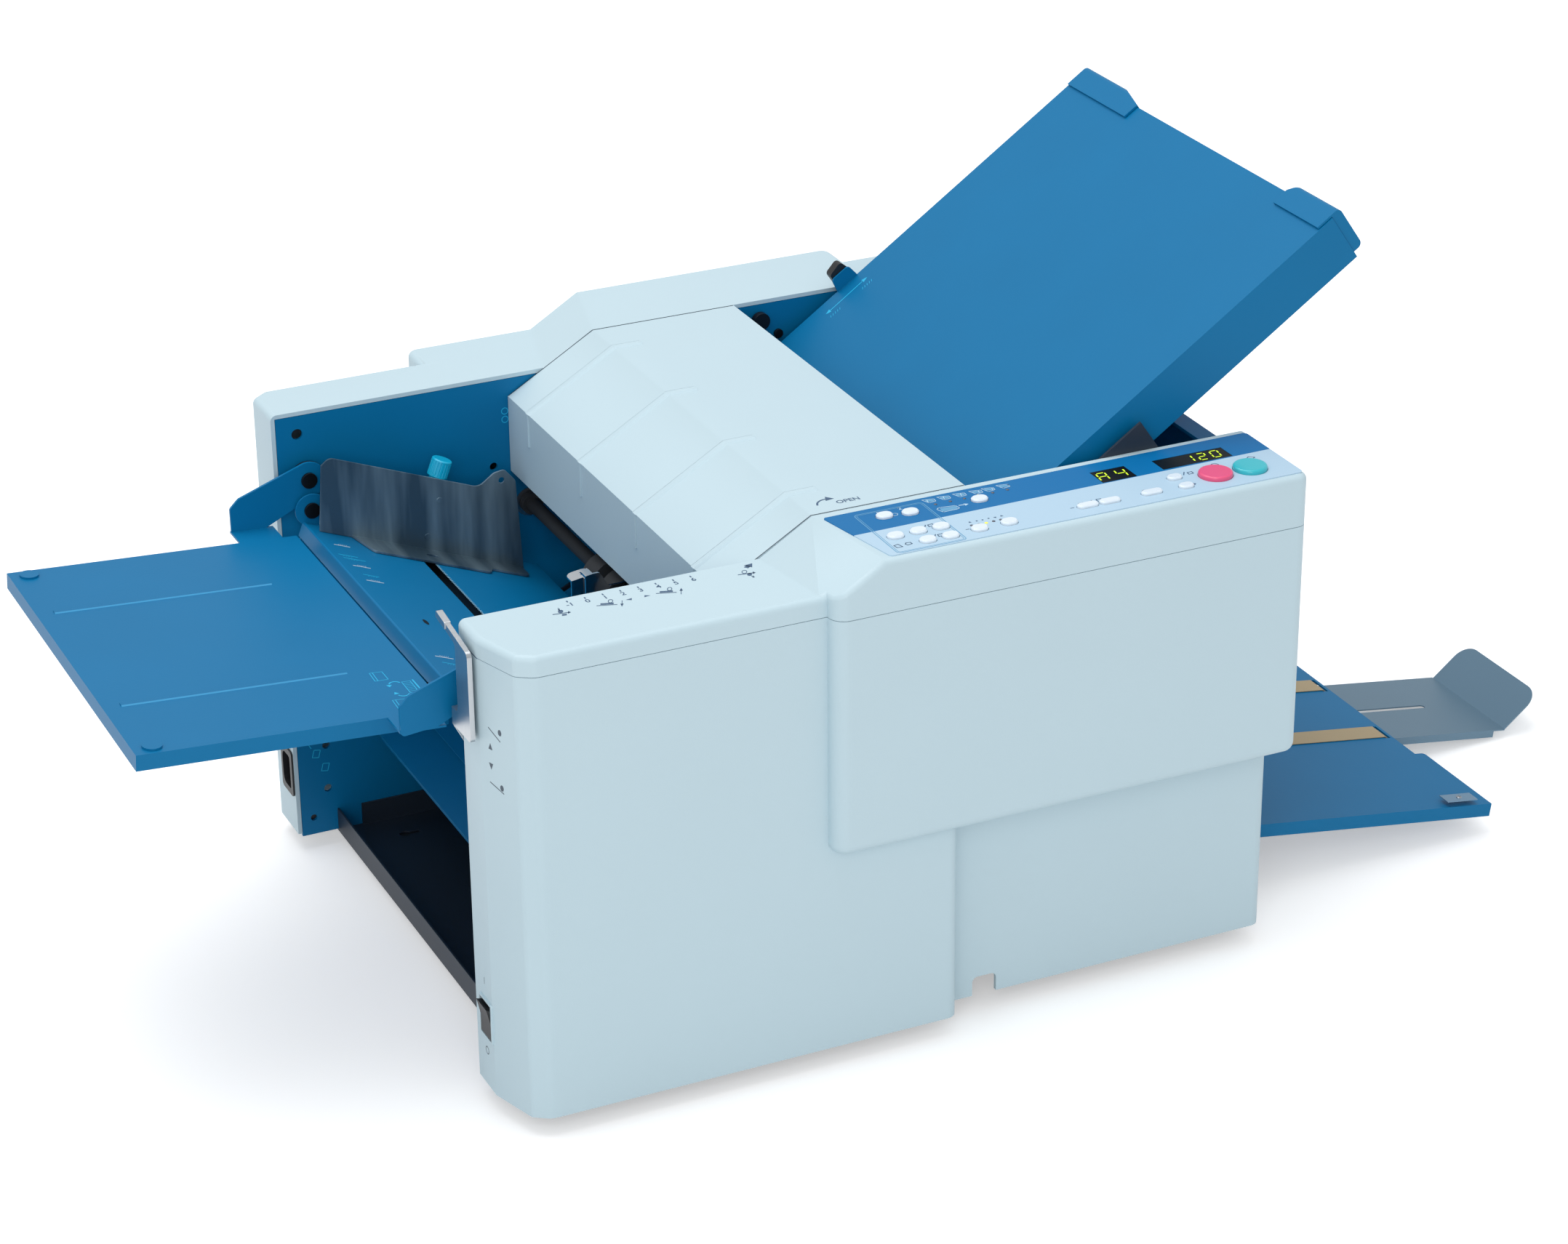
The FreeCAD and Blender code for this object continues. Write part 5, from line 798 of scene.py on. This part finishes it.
def flank(work, low, crest, near, far):
    """A strip that slopes from a low line at y = far to a crest at y = near."""
    foot = [work.verts.new((x, far, z)) for x, z in low]
    line = [work.edges.new(pair) for pair in zip(foot, foot[1:])]
    made = bmesh.ops.extrude_edge_only(work, edges=line)["geom"]
    for vert in [piece for piece in made if isinstance(piece, bmesh.types.BMVert)]:
        match = min(range(len(low)), key=lambda n: abs(vert.co.x - low[n][0]) + abs(vert.co.z - low[n][1]))
        vert.co = (crest[match][0], near, crest[match][1])


ribs, ridges = bmesh.new(), bmesh.new()
for side in (-1, 1):
    for y in RIB_Y:
        flank(ribs, RIB_LOW, RIB_CREST, y + side * RIB_HALF, y + side * (RIB_HALF + RIB_FLANK))
    for y in RIDGE_Y:
        flank(ridges, RIDGE_LOW, RIDGE_CREST, y + side * RIDGE_HALF, y + side * (RIDGE_HALF + RIDGE_FLANK))
# The tray's ridge flanks are a lighter blue than the tray: a painted highlight along each ridge.
RIDGE_PAINTED_HIGHLIGHT = finish("ridge painted highlight", srgb(52, 142, 190), 0.4, mottle=0.05, specular=0.2)
printed("rib_flanks", ribs, surface(0, 0, rise=0), FINISHES["cover_plastic"], "cover")
printed("tray_ridge_flanks", ridges, surface(*TRAY_AT, TRAY_SLOPE, rise=0), RIDGE_PAINTED_HIGHLIGHT, "tray")
print("flanks:", 2 * (len(RIB_Y) + len(RIDGE_Y)))

# %% [markdown]
# The cap of the front cover sits on its lower part with a narrow gap, which reads as a dark
# line. A ribbon a little under a millimetre high stands for it: the plan of the cover as a
# line with rounded corners, extruded upwards.

# %% The shadow line under the cap
SEAM_PLAN = ((-15.06, -184.0, 0), (-15.06, -212.0, 1), (-4.05, -247.05, 6), (7.0, -254.31, 12),
             (203.94, -254.31, 0.1), (203.94, -266.06, 11), (549.06, -266.06, 8), (549.06, -184.0, 0))
SEAM_LOW, SEAM_HEIGHT, ARC_STEPS = 314.9, 0.9, 8


def rounded(points):
    """Corners given as x, y and radius, turned into a line with arcs."""
    line = [Vector((*points[0][:2], 0))]
    for before, corner, after in zip(points, points[1:], points[2:]):
        middle = Vector((*corner[:2], 0))
        back = (Vector((*before[:2], 0)) - middle).normalized()
        on = (Vector((*after[:2], 0)) - middle).normalized()
        half = back.angle(on) / 2
        centre = middle + (back + on).normalized() * corner[2] / math.sin(half)
        start, end = (middle + way * corner[2] / math.tan(half) - centre for way in (back, on))
        line += [centre + start.slerp(end, step / ARC_STEPS) for step in range(ARC_STEPS + 1)]
    return line + [Vector((*points[-1][:2], 0))]


seam = bmesh.new()
seam_verts = [seam.verts.new(point + Vector((0, 0, SEAM_LOW))) for point in rounded(SEAM_PLAN)]
seam_edges = [seam.edges.new(pair) for pair in zip(seam_verts, seam_verts[1:])]
grown = bmesh.ops.extrude_edge_only(seam, edges=seam_edges)["geom"]
raised = [piece for piece in grown if isinstance(piece, bmesh.types.BMVert)]
bmesh.ops.translate(seam, vec=(0, 0, SEAM_HEIGHT), verts=raised)
bmesh.ops.recalc_face_normals(seam, faces=seam.faces)
SEAM_SHADE = finish("seam shadow", srgb(74, 98, 124), 0.7)
printed("cap_seam", seam, surface(0, 0, rise=0), SEAM_SHADE, "frame")
print("seam points:", len(SEAM_PLAN))

# %% [markdown]
# The hinged cover leaves a slim gap to the covers beside it. Two straight lines along each of
# its edges, one on the ramp and one on the flat top, make that gap as dark as it looks.

# %% Dark lines where the hinged cover meets the side covers
COVER_EDGE, LINE_WIDTH = 181.5, 0.9
RAMP_RUN, RAMP_ANGLE = 76.96, 30.36
GAP_SHADE = finish("gap shadow", srgb(44, 58, 72), 0.7)
flat_lines, ramp_lines = bmesh.new(), bmesh.new()
for y in (-COVER_EDGE, COVER_EDGE):
    stroke(flat_lines, (227.4, y), (337.5, y), LINE_WIDTH)
    stroke(ramp_lines, (0.6, y), (RAMP_RUN, y), LINE_WIDTH)
printed("cover_edge_lines", flat_lines, surface(0, CAP_HIGH), GAP_SHADE, "cover")
printed("cover_ramp_lines", ramp_lines, surface(161.0, 312.6, RAMP_ANGLE), GAP_SHADE, "cover")
print("cover lines:", 4)

# %% [markdown]
# Through the two slots of the base pan and one hole of the frame the bright floor would shine.
# In the real machine they are dark with shade, so a black sheet of painted shade lies close behind each of
# them.

# %% Painted shade behind the holes that look into the machine
pan_shade, frame_shade = bmesh.new(), bmesh.new()
for y in (-154.0, 154.0):
    stroke(pan_shade, (50.0, y), (70.0, y), 12.0)
blob(frame_shade, (-2.4, 10.9), 4.0)
printed("pan_painted_shade", pan_shade, surface(0, -4.0, rise=-0.06), FINISHES["black_plastic"], "frame")
printed("frame_painted_shade", frame_shade, upright(0, 185.0, 0, rise=-0.06), FINISHES["black_plastic"], "frame")
print("holes backed:", 3)

# %% [markdown]
# ### Small fittings
# A bright plate with one screw is riveted on the front corner of the delivery tray. The
# screws are cross-headed: a low dome with two crossing slots cut in.

# %% A cross-headed screw and the tray plate
SCREW = finish("plated screw", srgb(168, 174, 180), 0.3, metallic=1.0, grain=0.15)
PLATE_FINISH = finish("plain steel plate", srgb(116, 150, 176), 0.34, metallic=0.5, grain=0.2, grain_size=300,
                      stretch=(20, 1, 1))


def screw_head(work, centre, radius, rise):
    """A low dome, without its cross, which cross_slot lays on."""
    head = bmesh.ops.create_uvsphere(work, u_segments=24, v_segments=12, radius=radius)["verts"]
    bmesh.ops.scale(work, vec=(1, 1, rise / radius), verts=head)
    low = [v for v in head if v.co.z < -0.01]
    bmesh.ops.delete(work, geom=low, context="VERTS")
    kept = [v for v in head if v.is_valid]
    bmesh.ops.translate(work, vec=(*centre, 0), verts=kept)


ON_SHEET = 1e-6            # millimetres


def cross_slot(work, centre, radius, rise):
    """Two crossing strokes, lifted from the sheet to the top of a screw."""
    for turn in (0, 90):
        step = Vector((math.cos(math.radians(turn)), math.sin(math.radians(turn)))) * radius * 0.55
        middle = Vector(centre)
        stroke(work, middle - step, middle + step, radius * 0.26)
    bmesh.ops.translate(work, vec=(0, 0, rise), verts=[v for v in work.verts if abs(v.co.z) < ON_SHEET])


OUT_AT, OUT_SLOPE = (556.0, 46.5), -8.36
plate_work = bmesh.new()
bmesh.ops.create_cube(plate_work, size=1, matrix=Matrix.Translation((199.6, -166.8, 0.4))
                      @ Matrix.Diagonal((26.5, 11.5, 0.8, 1)))
bmesh.ops.bevel(plate_work, geom=list(plate_work.edges), offset=0.3, segments=2, profile=0.5, material=-1,
                affect="EDGES")
printed("tray_plate", plate_work, surface(*OUT_AT, OUT_SLOPE, rise=0), PLATE_FINISH, "delivery_tray")
screw_work = bmesh.new()
screw_head(screw_work, (199.8, -166.8), 2.2, 0.9)
printed("tray_plate_screw", screw_work, surface(*OUT_AT, OUT_SLOPE, rise=0.8), SCREW, "delivery_tray")
slot_work = bmesh.new()
cross_slot(slot_work, (199.8, -166.8), 2.2, 0.86)
printed("tray_plate_screw_slots", slot_work, surface(*OUT_AT, OUT_SLOPE, rise=0.8), FINISHES["black_steel"],
        "delivery_tray")
print("tray plate fitted")

# %% [markdown]
# ## Floor, light and camera
# The machine stands on a plain pale floor under a broad overhead light, with a window light
# from the control side. The floor has a little glow that only the camera and mirrors see, so
# it looks white, keeps its shadow and doesn't light the machine from below.

# %% Floor and light
FLOOR_HALF = 8.0           # metres
PAPER_GREY, PAPER_GLOW = (0.84, 0.84, 0.84), 0.4
ROOM_COLOUR, ROOM_STRENGTH = (0.97, 0.985, 1.0), 0.68
work = bmesh.new()
bmesh.ops.create_grid(work, x_segments=1, y_segments=1, size=FLOOR_HALF)
floor_mesh = bpy.data.meshes.new("floor")
work.to_mesh(floor_mesh)
work.free()
floor = bpy.data.objects.new("floor", floor_mesh)
scene.collection.objects.link(floor)
paper = bpy.data.materials.new("floor paper")
paper.use_nodes = True
paper_shader = paper.node_tree.nodes["Principled BSDF"]
paper_shader.inputs["Base Color"].default_value = (*PAPER_GREY, 1)
paper_shader.inputs["Roughness"].default_value = 0.9
paper_shader.inputs["Emission Color"].default_value = (1, 1, 1, 1)
ray_kind = paper.node_tree.nodes.new("ShaderNodeLightPath")
seen_or_mirrored = paper.node_tree.nodes.new("ShaderNodeMath")
seen_or_mirrored.operation = "MAXIMUM"
paper.node_tree.links.new(ray_kind.outputs["Is Camera Ray"], seen_or_mirrored.inputs[0])
paper.node_tree.links.new(ray_kind.outputs["Is Glossy Ray"], seen_or_mirrored.inputs[1])
whiter = paper.node_tree.nodes.new("ShaderNodeMath")
whiter.operation = "MULTIPLY"
whiter.inputs[1].default_value = PAPER_GLOW
paper.node_tree.links.new(seen_or_mirrored.outputs["Value"], whiter.inputs[0])
paper.node_tree.links.new(whiter.outputs["Value"], paper_shader.inputs["Emission Strength"])
floor_mesh.materials.append(paper)

world = bpy.data.worlds.new("soft room")
scene.world = world
world.use_nodes = True
world.node_tree.nodes["Background"].inputs["Color"].default_value = (*ROOM_COLOUR, 1)
world.node_tree.nodes["Background"].inputs["Strength"].default_value = ROOM_STRENGTH


def soft_lamp(name, place, aim, size, watts):
    lamp = bpy.data.lights.new(name, "AREA")
    lamp.shape = "SQUARE"
    lamp.size = size
    lamp.energy = watts
    lamp_object = bpy.data.objects.new(name, lamp)
    lamp_object.location = place
    lamp_object.rotation_euler = (Vector(aim) - Vector(place)).to_track_quat("-Z", "Y").to_euler()
    scene.collection.objects.link(lamp_object)


soft_lamp("overhead", (-0.4, 0.5, 3.0), (0, 0, 0.2), 2.4, 44)
soft_lamp("window", (-1.6, -3.0, 2.0), (0, 0, 0.2), 2.0, 34)

# %% [markdown]
# The camera looks down at the control corner through a long lens. Its place and turn are
# written as numbers, so the picture is the same every time.

# %% Camera
lens = bpy.data.cameras.new("camera")
lens.lens = 93.03
lens.sensor_width = 36
camera = bpy.data.objects.new("camera", lens)
AZIMUTH, DIP, ROLL = 24.7995, 25.4545, -0.5715
CAMERA_PLACE = (-1.12684, -2.32261, 1.41834)
azimuth, dip, roll = (math.radians(angle) for angle in (AZIMUTH, DIP, ROLL))
ahead = Vector((math.sin(azimuth) * math.cos(dip), math.cos(azimuth) * math.cos(dip), -math.sin(dip)))
right = Vector((math.cos(azimuth), -math.sin(azimuth), 0))
up = right.cross(ahead)
right, up = right * math.cos(roll) + up * math.sin(roll), up * math.cos(roll) - right * math.sin(roll)
turn = Matrix((right, up, -ahead)).transposed().to_4x4()
camera.matrix_world = Matrix.Translation(CAMERA_PLACE) @ turn
scene.collection.objects.link(camera)
scene.camera = camera
